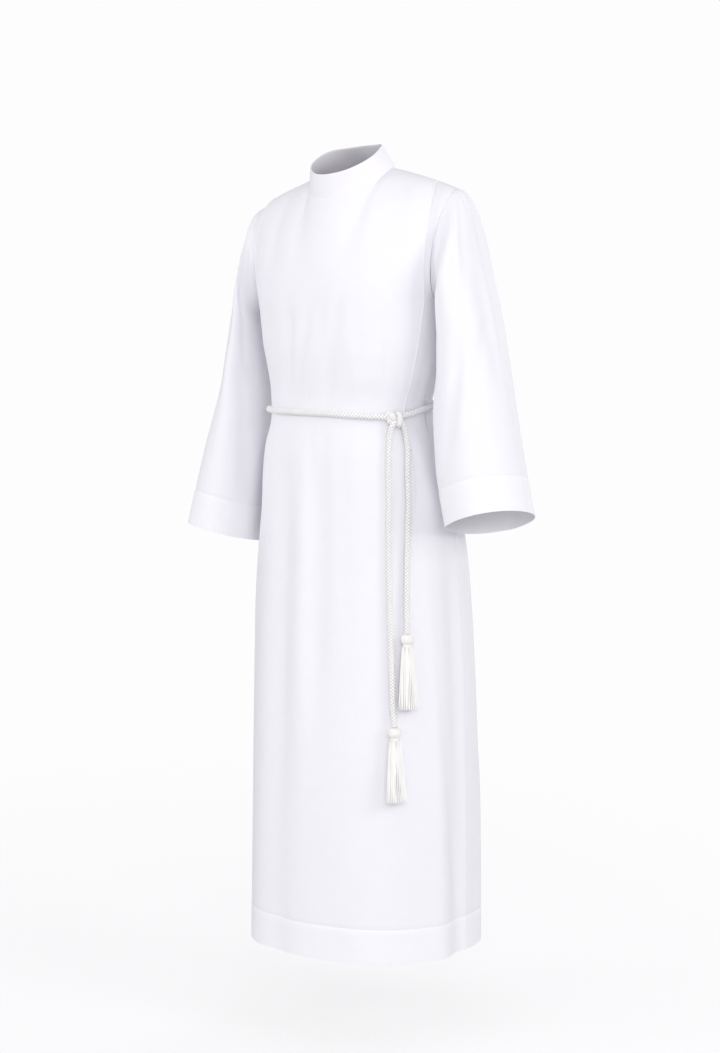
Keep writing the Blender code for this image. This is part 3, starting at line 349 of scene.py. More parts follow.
backCreases = (
    (((-0.02, 0.05), (-0.10, 0.08), (-0.20, 0.06)), 0.014, -0.0014),
    (((-0.03, 0.42), (-0.12, 0.50), (-0.22, 0.56)), 0.014, -0.0022),
    (((-0.03, -0.40), (-0.12, -0.47), (-0.22, -0.52)), 0.014, -0.0022),
    (((-0.10, 0.72), (-0.18, 0.66), (-0.28, 0.64)), 0.012, 0.0018),
    (((-0.09, -0.70), (-0.19, -0.66), (-0.29, -0.63)), 0.012, 0.0018),
    (((-0.22, -0.12), (-0.32, -0.16), (-0.42, -0.20)), 0.010, -0.0020),
    (((-0.24, 0.12), (-0.33, 0.14), (-0.42, 0.13)), 0.010, 0.0020),
    (((-0.26, 0.44), (-0.34, 0.42), (-0.42, 0.40)), 0.010, -0.0018),
    (((-0.27, -0.46), (-0.35, -0.44), (-0.42, -0.44)), 0.010, 0.0018),
    (((-0.32, 0.80), (-0.42, 0.78)), 0.010, -0.0020),
    (((-0.32, -0.82), (-0.42, -0.80)), 0.010, -0.0020),
    (((-0.436, -0.50), (-0.54, -0.54), (-0.72, -0.56), (-0.96, -0.55)), 0.014, 0.0026),
    (((-0.436, -0.06), (-0.54, -0.08), (-0.74, -0.10), (-1.00, -0.10)), 0.014, 0.0022),
    (((-0.436, 0.10), (-0.52, 0.12), (-0.66, 0.13)), 0.010, -0.0018),
    (((-0.436, 0.42), (-0.54, 0.46), (-0.76, 0.48), (-1.10, 0.50)), 0.015, 0.0026),
    (((-0.436, 0.76), (-0.54, 0.80), (-0.70, 0.83)), 0.012, -0.0024),
    (((-0.436, -0.80), (-0.54, -0.84), (-0.70, -0.86)), 0.012, -0.0024),
    (((-1.05, -0.14), (-1.25, -0.12), (-1.443, -0.12)), 0.022, -0.0020),
    (((-1.05, 0.84), (-1.25, 0.86), (-1.443, 0.86)), 0.018, 0.0022),
)


creaseFade = 0.22  # share of a crease's length over which each end fades
creaseEdge = 0.12  # the cloth swells this share the other way beside a crease


def creaseHeight(x, y, creases):  # bell-shaped across each line, and fading towards both its ends
    total = np.zeros(x.shape)
    for line, width, depth in creases:
        line = np.array(line)
        steps = np.diff(line, axis=0)
        lengths = np.linalg.norm(steps, axis=1)
        best = np.full(x.shape, 1e9)
        share = np.zeros(x.shape)
        for start, step, length, before in zip(line, steps, lengths, np.cumsum(lengths) - lengths):
            t = np.clip(((x - start[0]) * step[0] + (y - start[1]) * step[1]) / length**2, 0, 1)
            away = np.hypot(x - start[0] - step[0] * t, y - start[1] - step[1] * t)
            nearer = away < best
            best = np.where(nearer, away, best)
            share = np.where(nearer, (before + t * length) / lengths.sum(), share)
        fade = eased(share / creaseFade + 0.02) * eased((1 - share) / creaseFade + 0.02)
        total += depth * fade * (bell(best, width) - creaseEdge * bell(best - 2 * width, width))
    return total


driftHeight = 0.0006


def drift(x, y, seed):  # slow, upright undulation: five sine waves, each shorter and lower than the last
    total = 0
    for i in range(5):
        k = seed * 7.3 + i * 2.1
        upright = np.sin(x * (26 + 13 * i) + y * (3.1 + 1.7 * i) + k)
        total = total + upright * np.sin(y * (5 + 2.3 * i) + 1.3 * k) / (1 + i)
    return total * driftHeight


bodyFinish = {
    # metres round a quarter of the body by level, for the cloth and for the creases' lines
    "arcLevel": (-1.443, -0.95, -0.6, -0.43, -0.3, -0.01), "arc": (0.335, 0.315, 0.27, 0.215, 0.245, 0.25),
    "lineLevel": (-1.443, -0.43, -0.01), "lineArc": (0.335, 0.215, 0.25),
    "gather": 0.0005, "gatherReach": 0.028, "seamSink": 0.0005, "seamWidth": 0.0025,
    "puckers": 520.0, "puckerReach": 0.010,
    # at the shoulder seam, as shares of the way down to the underarm
    "shoulderRidge": 0.0006, "calm": 0.05, "onSeam": 0.06, "ridge": 0.045, "ridgeWidth": 0.018, "dip": 0.012,
}

# where cloth turns up and is stitched down, at the hem and the cuffs
edgeFinish = {"step": 0.0005, "ramp": 0.003, "groove": 0.0007, "grooveWidth": 0.0025, "pucker": 0.35}


def doubledEdge(past, puckers):  # a step up past the stitched line, and a groove that puckers along it
    step = edgeFinish["step"] * eased(past / edgeFinish["ramp"])
    groove = edgeFinish["groove"] * bell(past, edgeFinish["grooveWidth"])
    return step - groove * (1 + edgeFinish["pucker"] * puckers)


def gathersAt(face, place, level, about):  # fine uneven ripples that die out away from the rope
    ripples = np.sin(about * 330 + 5 * np.sin(about * 23 + face) + 2 * np.sin(about * 71))
    ripples = ripples * (0.5 + 0.5 * np.sin(about * 37 + 1.1))
    where = 0.35 + 0.65 * bell(place + 0.3, 0.25) if face < 0 else 0.7
    near = np.exp(-np.abs(level - levels["belt"]) / bodyFinish["gatherReach"])
    return bodyFinish["gather"] * ripples * near * where


def bodyLift(side, face, across, level):  # creases, gathers by the rope, hem band and seams
    make = bodyFinish
    place = side * across
    arc = curveThrough(make["arcLevel"], make["arc"], level)
    about = place * arc
    creases = []
    for line, width, depth in frontCreases if face < 0 else backCreases:
        heights, places = np.array(line).T
        metres = places * curveThrough(make["lineLevel"], make["lineArc"], heights)
        creases.append((np.stack([heights, metres], axis=1), width, depth))
    lift = creaseHeight(level, about, creases)
    lift = lift + drift(about, level, 1 if face < 0 else 2)
    lift = lift + gathersAt(face, place, level, about)
    lift = lift - make["seamSink"] * bell((1 - across) * arc, make["seamWidth"])
    if face > 0:
        lift = lift - make["seamSink"] * bell(across * arc, make["seamWidth"])
    # calm cloth at the shoulder seam, a low ridge beside the seam and a dip on it
    below = (levels["top"] - level) / (levels["top"] - levels["underarm"])
    onSeam = eased((across - neck["across"]) / make["onSeam"])
    lift = lift * (1 - onSeam * (1 - eased(below / make["calm"])))
    ridge = bell(below - make["ridge"], make["ridgeWidth"]) - bell(below, make["dip"])
    lift = lift + onSeam * make["shoulderRidge"] * ridge
    past = levels["hem"] + hem["band"] - level
    return lift + doubledEdge(past, np.sin(about * make["puckers"]) * bell(past, make["puckerReach"]))


# putting a grid of points into a mesh

def gridNormals(points, around=False):  # the cross of the two ways along the grid
    if around:
        along = np.roll(points, -1, axis=1) - np.roll(points, 1, axis=1)
    else:
        along = np.gradient(points, axis=1)
    return unit(np.cross(along, np.gradient(points, axis=0)))


def gridFaces(rows, columns, around):  # one quad for each cell of the grid
    index = np.arange(rows * columns).reshape(rows, columns)
    if around:
        index = np.concatenate([index, index[:, :1]], axis=1)
    quads = np.stack([index[:-1, :-1], index[:-1, 1:], index[1:, 1:], index[1:, :-1]], axis=-1)
    return index, quads.reshape(-1, 4)


def newMesh(name, vertices, faces, material, uv=None, sharpFrom=None, **attributes):
    mesh = bpy.data.meshes.new(name)
    corners = [face for part in faces for face in part.tolist()]
    mesh.from_pydata(np.asarray(vertices).reshape(-1, 3).tolist(), [], corners)
    mesh.shade_smooth()
    if sharpFrom:
        mesh.set_sharp_from_angle(angle=math.radians(sharpFrom))
    corner = np.empty(len(mesh.loops), np.int32)
    mesh.loops.foreach_get("vertex_index", corner)
    if uv is not None:
        layer = mesh.uv_layers.new(name="metres")
        layer.uv.foreach_set("vector", np.asarray(uv, np.float32).reshape(-1, 2)[corner].ravel())
    for key, values in attributes.items():
        layer = mesh.attributes.new(key, "FLOAT", "POINT")
        layer.data.foreach_set("value", np.asarray(values, np.float32).ravel())
    mesh.materials.append(material)
    thing = bpy.data.objects.new(name, mesh)
    bpy.context.scene.collection.objects.link(thing)
    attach(thing, "root")
    return thing


def facedOutwards(quads, caps, corner, second, third, middle):  # faces turned over if they look inwards
    if np.cross(second - corner, third - corner) @ (corner - middle) < 0:
        return quads[:, ::-1], [cap[:, ::-1] for cap in caps]
    return quads, caps


def clothPiece(name, points, wall, uv, material, around=False, doubled=0.0, sharpFrom=60):
    # half a wall out and half a wall in from the middle of the cloth, and a wall more where it is doubled
    rows, columns = points.shape[:2]
    normal = gridNormals(points, around)
    thick = wall / 2 + np.zeros((rows, columns))
    doubled = doubled + 0 * thick
    inner = points - normal * (thick + doubled * wall)[..., None]
    outer = points + normal * thick[..., None]
    index, quads = gridFaces(rows, columns, around)
    count = rows * columns
    faces = [quads, quads[:, ::-1] + count]
    rims = [(index[0, :-1], index[0, 1:], 1), (index[-1, :-1], index[-1, 1:], -1)]
    if not around:
        rims += [(index[:-1, 0], index[1:, 0], -1), (index[:-1, -1], index[1:, -1], 1)]
    for first, second, way in rims:
        faces.append(np.stack([first, first + count, second + count, second], 1)[:, ::way])
    vertices, uv, doubled = np.stack([outer, inner]), np.stack([uv, uv]), np.stack([doubled, doubled])
    return newMesh(name, vertices, faces, material, uv, sharpFrom, doubled=doubled)


# materials

def linear(code):  # an sRGB hex colour as linear RGBA
    parts = [int(code[i:i + 2], 16) / 255 for i in (0, 2, 4)]
    return tuple(c / 12.92 if c <= 0.04045 else ((c + 0.055) / 1.055) ** 2.4 for c in parts) + (1.0,)


def addNode(tree, kind, settings=None, **inputs):  # a node, its settings, and its inputs as values or links
    node = tree.nodes.new(kind)
    for key, value in (settings or {}).items():
        setattr(node, key, value)
    for key, value in inputs.items():
        name = int(key[1:]) if key[0] == "_" and key[1:].isdigit() else key.replace("_", " ")
        if isinstance(value, bpy.types.NodeSocket):
            tree.links.new(value, node.inputs[name])
        else:
            node.inputs[name].default_value = value
    return node


def newMaterial(name, colour, roughness, sheen):
    material = bpy.data.materials.new(name)
    material.use_nodes = True
    tree = material.node_tree
    shader = tree.nodes["Principled BSDF"]
    shader.inputs["Base Color"].default_value = linear(colour)
    shader.inputs["Roughness"].default_value = roughness
    shader.inputs["Sheen Weight"].default_value = sheen
    shader.inputs["Sheen Roughness"].default_value = 0.4
    return material, tree, shader


def addBump(tree, height, distance, strength, under=None):  # raises a bump, on top of another if it's given
    bump = addNode(tree, "ShaderNodeBump", Height=height, Distance=distance, Strength=strength)
    if under is not None:
        tree.links.new(under, bump.inputs["Normal"])
    return bump.outputs["Normal"]


def addTone(tree, name, low, high):  # a colour between two, by a value that the mesh carries
    value = addNode(tree, "ShaderNodeAttribute", {"attribute_name": name}).outputs["Fac"]
    colours = {"_6": linear(low), "_7": linear(high)}
    return addNode(tree, "ShaderNodeMix", {"data_type": "RGBA"}, _0=value, **colours).outputs[2]


# threads are 0.3 mm apart, too fine to show, so the weave is drawn at 1.2 mm
clothLook = {
    "roughness": 0.82, "sheen": 0.06, "weave": 52.0, "weaveUneven": 0.6, "weaveTall": 0.00008,
    "slubs": (900.0, 60.0, 1.0), "slubTall": 0.00012, "rumple": 28.0, "dullest": 0.975,
}


def makeCloth(name, plain, double, wrinkle):  # poly-cotton poplin: matt, fine plain weave, faint slubs
    look = clothLook
    material, tree, shader = newMaterial(name, plain, look["roughness"], look["sheen"])
    uv = addNode(tree, "ShaderNodeUVMap", {"uv_map": "metres"}).outputs["UV"]
    thread = {"Vector": uv, "Scale": look["weave"], "Distortion": look["weaveUneven"], "Detail_Scale": 3.0}
    warp = addNode(tree, "ShaderNodeTexWave", {"bands_direction": "X"}, **thread).outputs["Fac"]
    weft = addNode(tree, "ShaderNodeTexWave", {"bands_direction": "Y"}, **thread).outputs["Fac"]
    weave = addNode(tree, "ShaderNodeMath", {"operation": "MULTIPLY"}, _0=warp, _1=weft).outputs["Value"]
    stretch = addNode(tree, "ShaderNodeMapping", Vector=uv, Scale=look["slubs"]).outputs["Vector"]
    slubs = addNode(tree, "ShaderNodeTexNoise", Vector=stretch, Scale=1.0, Detail=2.0).outputs["Fac"]
    soft = addNode(tree, "ShaderNodeTexNoise", Vector=uv, Scale=look["rumple"], Detail=3.0).outputs["Fac"]
    fine = addBump(tree, weave, look["weaveTall"], 0.5)
    slub = addBump(tree, slubs, look["slubTall"], 0.6, fine)
    tree.links.new(addBump(tree, soft, wrinkle, 0.7, slub), shader.inputs["Normal"])
    uneven = addNode(tree, "ShaderNodeMapRange", Value=soft, To_Min=look["dullest"]).outputs["Result"]
    tone = addTone(tree, "doubled", plain, double)
    hue = addNode(tree, "ShaderNodeHueSaturation", Color=tone, Value=uneven)
    tree.links.new(hue.outputs["Color"], shader.inputs["Base Color"])
    return material


cottonLook = {"roughness": 0.9, "sheen": 0.10, "fibreTall": 0.0003, "strength": 0.7}


def makeCotton(name, light, groove, across, along):  # cotton yarn: matt, fibres along the strand
    look = cottonLook
    material, tree, shader = newMaterial(name, light, look["roughness"], look["sheen"])
    uv = addNode(tree, "ShaderNodeUVMap", {"uv_map": "metres"}).outputs["UV"]
    stretch = addNode(tree, "ShaderNodeMapping", Vector=uv, Scale=(across, along, 1.0)).outputs["Vector"]
    fibres = addNode(tree, "ShaderNodeTexNoise", Vector=stretch, Scale=1.0, Detail=3.0).outputs["Fac"]
    tree.links.new(addBump(tree, fibres, look["fibreTall"], look["strength"]), shader.inputs["Normal"])
    # the colour runs from the painted shade in the grooves up to the light colour on top of the strands
    tree.links.new(addTone(tree, "raised", groove, light), shader.inputs["Base Color"])
    return material


# cloth: plain and doubled colour, and how tall its rumples are
poplin = makeCloth("white poly-cotton poplin", "efeff4", "f2f2f6", 0.0009)
collarPoplin = makeCloth("fused poplin collar", "f1f0f5", "f2f1f5", 0.0004)
# cotton: the colour on top of the strands, the darker painted shade between them and in the tassels' inner
# yarns, and fibres for each metre across and along
braidCotton = makeCotton("braided cotton rope", "ffffff", "bab6b5", 2600.0, 900.0)
yarnCotton = makeCotton("cotton tassel yarn", "f7f6f4", "eae8e6", 3000.0, 120.0)
threadCotton = makeCotton("white sewing thread", "f2f1f6", "f2f1f6", 3000.0, 800.0)
print("materials ready")


# the body's cloth

# the pleat's edge: its place across, how far the pleat is closed, and its height in layers
pleat = {
    "level": (-1.443, -1.0, -0.75, -0.65, -0.6, -0.54, -0.5, -0.43,
              -0.36, -0.3, -0.235, -0.12, -0.06, -0.03, -0.01),
    "place": (0.74, 0.715, 0.69, 0.685, 0.695, 0.735, 0.75, 0.765,
              0.775, 0.795, 0.83, 0.88, 0.84, 0.81, 0.79),
    "closed": (0.0, 0.0, 0.0, 0.0, 0.20, 0.60, 0.90, 1.0, 1.0, 1.0, 1.0, 1.0, 1.0, 1.0, 1.0),
    "lift": (0.0, 0.0, 0.0, 0.10, 0.40, 0.60, 0.70, 0.94, 1.05, 1.2, 1.25, 1.3, 1.35, 1.0, 0.1),
}
# the fold: metres, then columns before and after it, and how far closed it is when its layers part
pleatFold = {
    "layer": 0.0021, "depth": 0.008, "ramp": 0.060, "edge": 0.0004, "crest": 0.35, "crestIn": 0.0012,
    "crestWidth": 0.0018, "before": 44, "after": 20, "parts": 0.1,
}
backColumns = 64


def bodyRows():  # even levels, with a few close ones round the hem's stitched line
    line = levels["hem"] + hem["band"]
    plain = np.linspace(levels["hem"], levels["top"], hem["rows"])
    byLine = line + np.array([-0.003, -0.0015, 0.0, 0.0015, 0.003])
    return np.sort(np.concatenate([plain[np.abs(plain - line) > 0.004], byLine]))


# Steps across, in metres from the pleat's edge, the same steps laid flat, and heights in layers. The front
# runs over the top layer to its crest, round a half circle and back below. The side panel starts below it.
def foldPath(sidePanel):
    deep, half, edge = pleatFold["depth"], pleatFold["layer"] / 2, pleatFold["edge"]
    if sidePanel:
        steps = np.linspace(-deep, 0.8 * deep, 9)
        return steps, np.linspace(0, 0.8 * deep, 9), 0 * steps
    turn = np.linspace(math.pi / 2, -math.pi / 2, 9)[1:-1]
    over, under = np.linspace(-1.6 * deep, -edge, 12), np.linspace(-edge, -deep, 6)
    steps = np.concatenate([over, 1.1 * half * np.cos(turn) - edge, under])
    crest = pleatFold["crest"] * bell(over + pleatFold["crestIn"], pleatFold["crestWidth"])
    layers = np.concatenate([2 + crest, 1.52 + 0.48 * np.sin(turn), 1.05 + 0 * under])
    return steps, np.linspace(steps[0], 0, len(steps)), layers


def foldColumns(side, rows, sidePanel):  # the fold's places across at every row, and its layers
    at = readColumns(pleat, "level", rows)
    ahead = bodyPoint(side, -1, at["place"] + 0.01, rows)
    scale = np.linalg.norm(ahead - bodyPoint(side, -1, at["place"] - 0.01, rows), axis=-1)[:, None] / 0.02
    closed = at["closed"][:, None]
    steps, flat, layers = foldPath(sidePanel)
    fold = at["place"][:, None] + (flat + (steps - flat) * closed) / scale
    level = np.linspace(layers[0], 0, len(layers))
    layers = layers + (level - layers) * eased(1 - closed / pleatFold["parts"])
    return fold, layers, scale, at["lift"][:, None] * pleatFold["layer"]


def frontHalf(side, rows):  # even columns from the middle, then the fold
    fold, layers, scale, tall = foldColumns(side, rows, False)
    first = fold[:, :1] * np.linspace(0, 1, pleatFold["before"] + 1)[None, :-1]
    ramp = layers[:, :1] * eased(1 - (fold[:, :1] - first) * scale / pleatFold["ramp"])
    across = np.concatenate([first, fold], axis=1)
    lift = np.concatenate([ramp, layers], axis=1) * tall
    level = rows[:, None] + 0 * across
    return bodySurface(side, -1, across, level, lift + bodyLift(side, -1, across, level))


def metricUv(points):  # metres across and metres up, measured along the cloth
    across = np.cumsum(np.linalg.norm(np.diff(points, axis=1, prepend=points[:, :1]), axis=-1), axis=1)
    across = across - across[:, across.shape[1] // 2, None]
    up = np.cumsum(np.linalg.norm(np.diff(points, axis=0, prepend=points[:1]), axis=-1), axis=0)
    return np.stack([across, up], axis=-1)


def makeBody(name, points, rows, node):  # one panel of the body, doubled below the hem's line
    double = (rows < levels["hem"] + hem["band"])[:, None].astype(float)
    piece = clothPiece(name, points, hem["wall"], metricUv(points), poplin, doubled=double)
    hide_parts(node)
    return piece, points


def makeFront():
    rows = bodyRows()
    halves = [frontHalf(side, rows) for side in (-1, 1)]
    points = np.concatenate([halves[0][:, ::-1], halves[1][:, 1:]], axis=1)
    return makeBody("robeFront", points, rows, "front")


def makeFrontSide(side, name, node):
    rows = bodyRows()
    fold = foldColumns(side, rows, True)[0]
    rest = fold[:, -1:] + (1 - fold[:, -1:]) * np.linspace(0, 1, pleatFold["after"] + 1)[None, 1:]
    across = np.concatenate([fold, rest], axis=1)
    level = rows[:, None] + 0 * across
    points = bodySurface(side, -1, across, level, bodyLift(side, -1, across, level))
    return makeBody(name, points[:, ::-1] if side < 0 else points, rows, node)


def makeBack(side, name, node):
    rows = bodyRows()
    across = np.linspace(0, 1, backColumns)[None, :] + 0 * rows[:, None]
    level = rows[:, None] + 0 * across
    points = bodySurface(side, 1, across, level, bodyLift(side, 1, across, level))
    return makeBody(name, points[:, ::-1] if side > 0 else points, rows, node)


robeFront, frontPoints = makeFront()
sideLeft, sideLeftPoints = makeFrontSide(1, "robeFrontSideLeft", "front_side_left")
sideRight, sideRightPoints = makeFrontSide(-1, "robeFrontSideRight", "front_side_right")
print("front made")
robeBackLeft, backLeftPoints = makeBack(1, "robeBackLeft", "back_left")
robeBackRight, backRightPoints = makeBack(-1, "robeBackRight", "back_right")
print("back made")


# sleeves: rings from the armhole down

sleeveRings = {
    1: {"along": (0.20, 0.40, 0.60, 0.80, 1.00), "outerX": (0.262, 0.301, 0.329, 0.352, 0.376),
        "outerZ": (-0.122, -0.255, -0.385, -0.492, -0.600), "innerX": (0.204, 0.202, 0.201, 0.209, 0.232),
        "innerZ": (-0.262, -0.330, -0.420, -0.533, -0.646), "middleY": (0.0, -0.006, -0.010, -0.015, -0.020),
        "depth": (0.090, 0.088, 0.089, 0.093, 0.096), "tilt": (0.05, 0.09, 0.13, 0.17, 0.21)},
    -1: {"along": (0.20, 0.40, 0.60, 0.80, 1.00), "outerX": (0.214, 0.242, 0.269, 0.297, 0.324),
         "outerZ": (-0.170, -0.300, -0.435, -0.550, -0.663), "innerX": (0.192, 0.188, 0.188, 0.195, 0.205),
         "innerZ": (-0.285, -0.365, -0.465, -0.575, -0.688), "middleY": (0.0, -0.006, -0.010, -0.015, -0.020),
         "depth": (0.084, 0.082, 0.083, 0.087, 0.090), "tilt": (0.05, 0.08, 0.11, 0.14, 0.16)},
}
# head is the share of the length above the first ring, and low is under the arm
sleeveMake = {
    "length": 0.55, "cuff": 0.065, "squareness": 2.1, "around": 150, "rows": 128, "wall": 0.0008,
    "girth": 0.42, "head": 0.20, "leaves": 0.074, "drops": 0.015, "dropsLow": 0.010, "out": 0.0002,
    "outLow": 0.0012, "calm": 0.8, "seamSink": 0.0006, "seamWidth": 0.003, "ease": 0.00015, "easeReach": 0.02,
}

# largest folds: side, first and last turn in degrees, top, bottom, width in degrees, depth
sleeveFolds = (
    (1, 62, 118, 0.36, 0.86, 15, -0.007), (1, 20, 12, 0.22, 0.62, 16, -0.006),
    (1, 150, 140, 0.45, 1.05, 16, 0.005), (1, 235, 300, 0.30, 0.85, 18, -0.008),
    (1, 275, 262, 0.55, 1.05, 16, 0.005), (-1, 75, 50, 0.22, 0.62, 15, -0.006),
    (-1, 120, 150, 0.35, 0.90, 16, -0.006), (-1, 30, 45, 0.55, 1.05, 18, 0.005),
    (-1, 300, 240, 0.28, 0.88, 18, -0.008), (-1, 330, 340, 0.45, 0.95, 16, -0.005),
)

# smaller creases as (metres down, metres round) lines, with width and depth
sleeveCreases = {
    1: (
        (((0.004, 0.026), (0.057, 0.044), (0.099, 0.050), (0.14, 0.059), (0.19, 0.068)), 0.006, 0.0012),
        (((0.02, 0.024), (0.057, 0.030), (0.10, 0.034), (0.16, 0.044)), 0.009, -0.0014),
        (((0.012, 0.014), (0.043, 0.012), (0.067, 0.005)), 0.004, -0.0012),
        (((0.030, 0.418), (0.049, 0.414), (0.078, 0.400)), 0.004, -0.0012),
        (((0.20, 0.011), (0.284, 0.051), (0.398, 0.087), (0.445, 0.113)), 0.012, -0.0018),
        (((0.071, 0.393), (0.124, 0.382), (0.189, 0.397), (0.264, 0.409)), 0.014, -0.0018),
        (((0.04, 0.130), (0.11, 0.120), (0.20, 0.125)), 0.009, -0.0012),
        (((0.12, 0.160), (0.20, 0.150), (0.30, 0.165)), 0.010, -0.0014),
        (((0.24, 0.06), (0.34, 0.035), (0.46, 0.030)), 0.016, -0.0009),
        (((0.02, 0.300), (0.12, 0.310), (0.24, 0.300)), 0.010, -0.0020),
        (((0.16, 0.250), (0.28, 0.270), (0.42, 0.280)), 0.012, 0.0020),
    ),
    -1: (
        (((0.004, 0.044), (0.012, 0.083), (0.034, 0.108)), 0.008, 0.0010),
        (((0.010, 0.075), (0.026, 0.130), (0.030, 0.162)), 0.006, -0.0010),
        (((0.039, 0.103), (0.116, 0.150), (0.246, 0.157)), 0.010, -0.0020),
        (((0.36, 0.175), (0.428, 0.182), (0.48, 0.186)), 0.010, -0.0010),
        (((0.02, 0.050), (0.10, 0.060), (0.20, 0.080)), 0.010, -0.0010),
        (((0.20, 0.060), (0.30, 0.080), (0.44, 0.085)), 0.014, -0.0012),
        (((0.03, 0.290), (0.13, 0.285), (0.26, 0.300)), 0.010, -0.0020),
        (((0.18, 0.230), (0.30, 0.250), (0.44, 0.255)), 0.012, 0.0018),
    ),
}


def sleeveFoldHeight(side, turn, along):  # bell-shaped round the sleeve, along lines that wind down
    total = np.zeros(np.broadcast(turn, along).shape)
    for which, first, last, top, bottom, width, depth in sleeveFolds:
        if which != side:
            continue
        share = np.clip((along - top) / (bottom - top), 0, 1)
        away = np.mod(np.degrees(turn) - first - (last - first) * share + 180, 360) - 180
        fade = eased(share / foldFade)
        if bottom <= 1:
            fade = fade * eased((1 - share) / foldFade)
        total = total + depth * fade * bell(away, width)
    return total


def sleeveRing(side, turn, along):  # a tilted superellipse between its outer and its inner end
    ring = readColumns(sleeveRings[side], "along", along)
    cosine, sine = np.cos(turn), np.sin(turn)
    size = roundedRadius(cosine, sine, 1.0, 1.0, sleeveMake["squareness"])
    cosine, sine = cosine * size, sine * size
    x = (ring["outerX"] + ring["innerX"]) / 2 + (ring["outerX"] - ring["innerX"]) / 2 * cosine
    z = (ring["outerZ"] + ring["innerZ"]) / 2 + (ring["outerZ"] - ring["innerZ"]) / 2 * cosine
    y = ring["middleY"] - ring["depth"] * sine
    return np.stack([side * x, y, z + ring["depth"] * sine * ring["tilt"]], axis=-1)


# The head is a cubic from the armhole to the first ring: it leaves sideways, and meets the ring along the
# sleeve's own way. Below it the rings follow on.
def sleevePoint(side, turn, along):
    turn, along = np.broadcast_arrays(np.asarray(turn, float), np.asarray(along, float))
    make, first = sleeveMake, sleeveMake["head"]
    full = np.mod(turn, 2 * math.pi)
    edgeFront = armholePoint(side, -1, np.minimum(full, math.pi))
    edgeBack = armholePoint(side, 1, 2 * math.pi - np.maximum(full, math.pi))
    edge = leant(np.where((full <= math.pi)[..., None], edgeFront, edgeBack))
    low = (1 - np.cos(turn)) / 2
    edge[..., 0] += side * (make["out"] + make["outLow"] * low**3)
    ring = sleeveRing(side, turn, np.full(turn.shape, first))
    endWay = (sleeveRing(side, turn, np.full(turn.shape, first + 0.01)) - ring) / 0.01 * first
    leaving = (side * (make["leaves"] + 0 * turn), 0 * turn, -make["drops"] - make["dropsLow"] * low)
    startWay = np.stack(leaving, axis=-1)
    t = np.clip(along / first, 0, 1)[..., None]
    head = (1 + 2 * t) * (1 - t) ** 2 * edge + t * (1 - t) ** 2 * startWay
    head = head + t * t * (3 - 2 * t) * ring - t * t * (1 - t) * endWay
    rings = sleeveRing(side, turn, np.maximum(along, first))
    points = np.where((along <= first)[..., None], head, rings)
    axis = (rings + sleeveRing(side, turn + math.pi, np.maximum(along, first))) / 2
    return points + unit(rings - axis) * sleeveFoldHeight(side, turn, along)[..., None]


def sleeveLift(side, angle, down):  # creases, the cuff's edge, and the armhole's sunk and eased seam
    make = sleeveMake
    lift = creaseHeight(down, angle / (2 * math.pi) * make["girth"], sleeveCreases[side])
    lift = lift + make["calm"] * drift(0.12 * np.sin(angle), down + 0.05 * np.cos(angle), 3 + side)
    lift = lift + doubledEdge(down - (make["length"] - make["cuff"]), np.sin(angle * 40))
    lift = lift - make["seamSink"] * bell(down, make["seamWidth"])
    return lift + make["ease"] * np.sin(angle * 17) * bell(down, make["easeReach"])


def makeSleeve(side, name, node):
    cuff = 1 - sleeveMake["cuff"] / sleeveMake["length"]
    plain = np.linspace(0, 1, sleeveMake["rows"])
    byLine = cuff + np.array([-0.006, -0.003, 0.0, 0.003, 0.006])
    along = np.sort(np.concatenate([plain[np.abs(plain - cuff) > 0.008], byLine]))[::-1][:, None]
    turn = np.linspace(0, 2 * math.pi, sleeveMake["around"], endpoint=False)
    turn = -(turn[::-1] if side < 0 else turn)[None, :]
    angle = np.mod(turn, 2 * math.pi) + 0 * along
    down = (along + 0 * turn) * sleeveMake["length"]
    points = sleevePoint(side, turn, along)
    points = points + gridNormals(points, True) * sleeveLift(side, angle, down)[..., None]
    uv = np.stack([angle / (2 * math.pi) * sleeveMake["girth"], -down], axis=-1)
    double = (along > cuff).astype(float)
    piece = clothPiece(name, points, sleeveMake["wall"], uv, poplin, around=True, doubled=double)
    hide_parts(node)
    return piece, points


sleeveLeft, sleeveLeftPoints = makeSleeve(1, "robeSleeveLeft", "sleeve_left")
sleeveRight, sleeveRightPoints = makeSleeve(-1, "robeSleeveRight", "sleeve_right")
print("sleeves made")


# collar: a doubled band that stands on the neckline, its ends meeting behind

collarMake = {
    "seam": -0.0006, "around": 180, "rows": 22, "softness": 0.0009, "wave": 0.0006, "sink": 0.0003,
    "sinkShare": 0.05, "edgeShare": 0.9,
}


def makeCollar():  # a slightly wavy band whose wall rounds off to half at the top edge
    share = np.linspace(0, 1, collarMake["rows"])
    rises = (collarMake["seam"] + (neck["collarHeight"] - collarMake["seam"]) * share)[:, None]
    turn = np.linspace(-math.pi / 2, 3 * math.pi / 2, collarMake["around"])[::-1][None, :]
    points = leant(neckRing(turn + 0 * rises, rises + 0 * turn))
    lift = collarMake["softness"] * np.sin(turn * 3 + 1.2) * np.sin(share * math.pi)[:, None]
    lift = lift + collarMake["wave"] * np.sin(turn * 7 + 0.4) * share[:, None]
    lift = lift - collarMake["sink"] * bell(share, collarMake["sinkShare"])[:, None]
    points = points + gridNormals(points) * lift[..., None]
    nearEdge = np.maximum(0, (share - collarMake["edgeShare"]) / (1 - collarMake["edgeShare"]))
    wall = neck["collarWall"] * (1 - 0.5 * nearEdge**2)[:, None]
    piece = clothPiece("robeCollar", points, wall, metricUv(points), collarPoplin, sharpFrom=70)
    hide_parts("collar_band")
    return piece


robeCollar = makeCollar()
print("collar made")


# rope: a bare braided cord round the waist, knotted, with two hanging tails

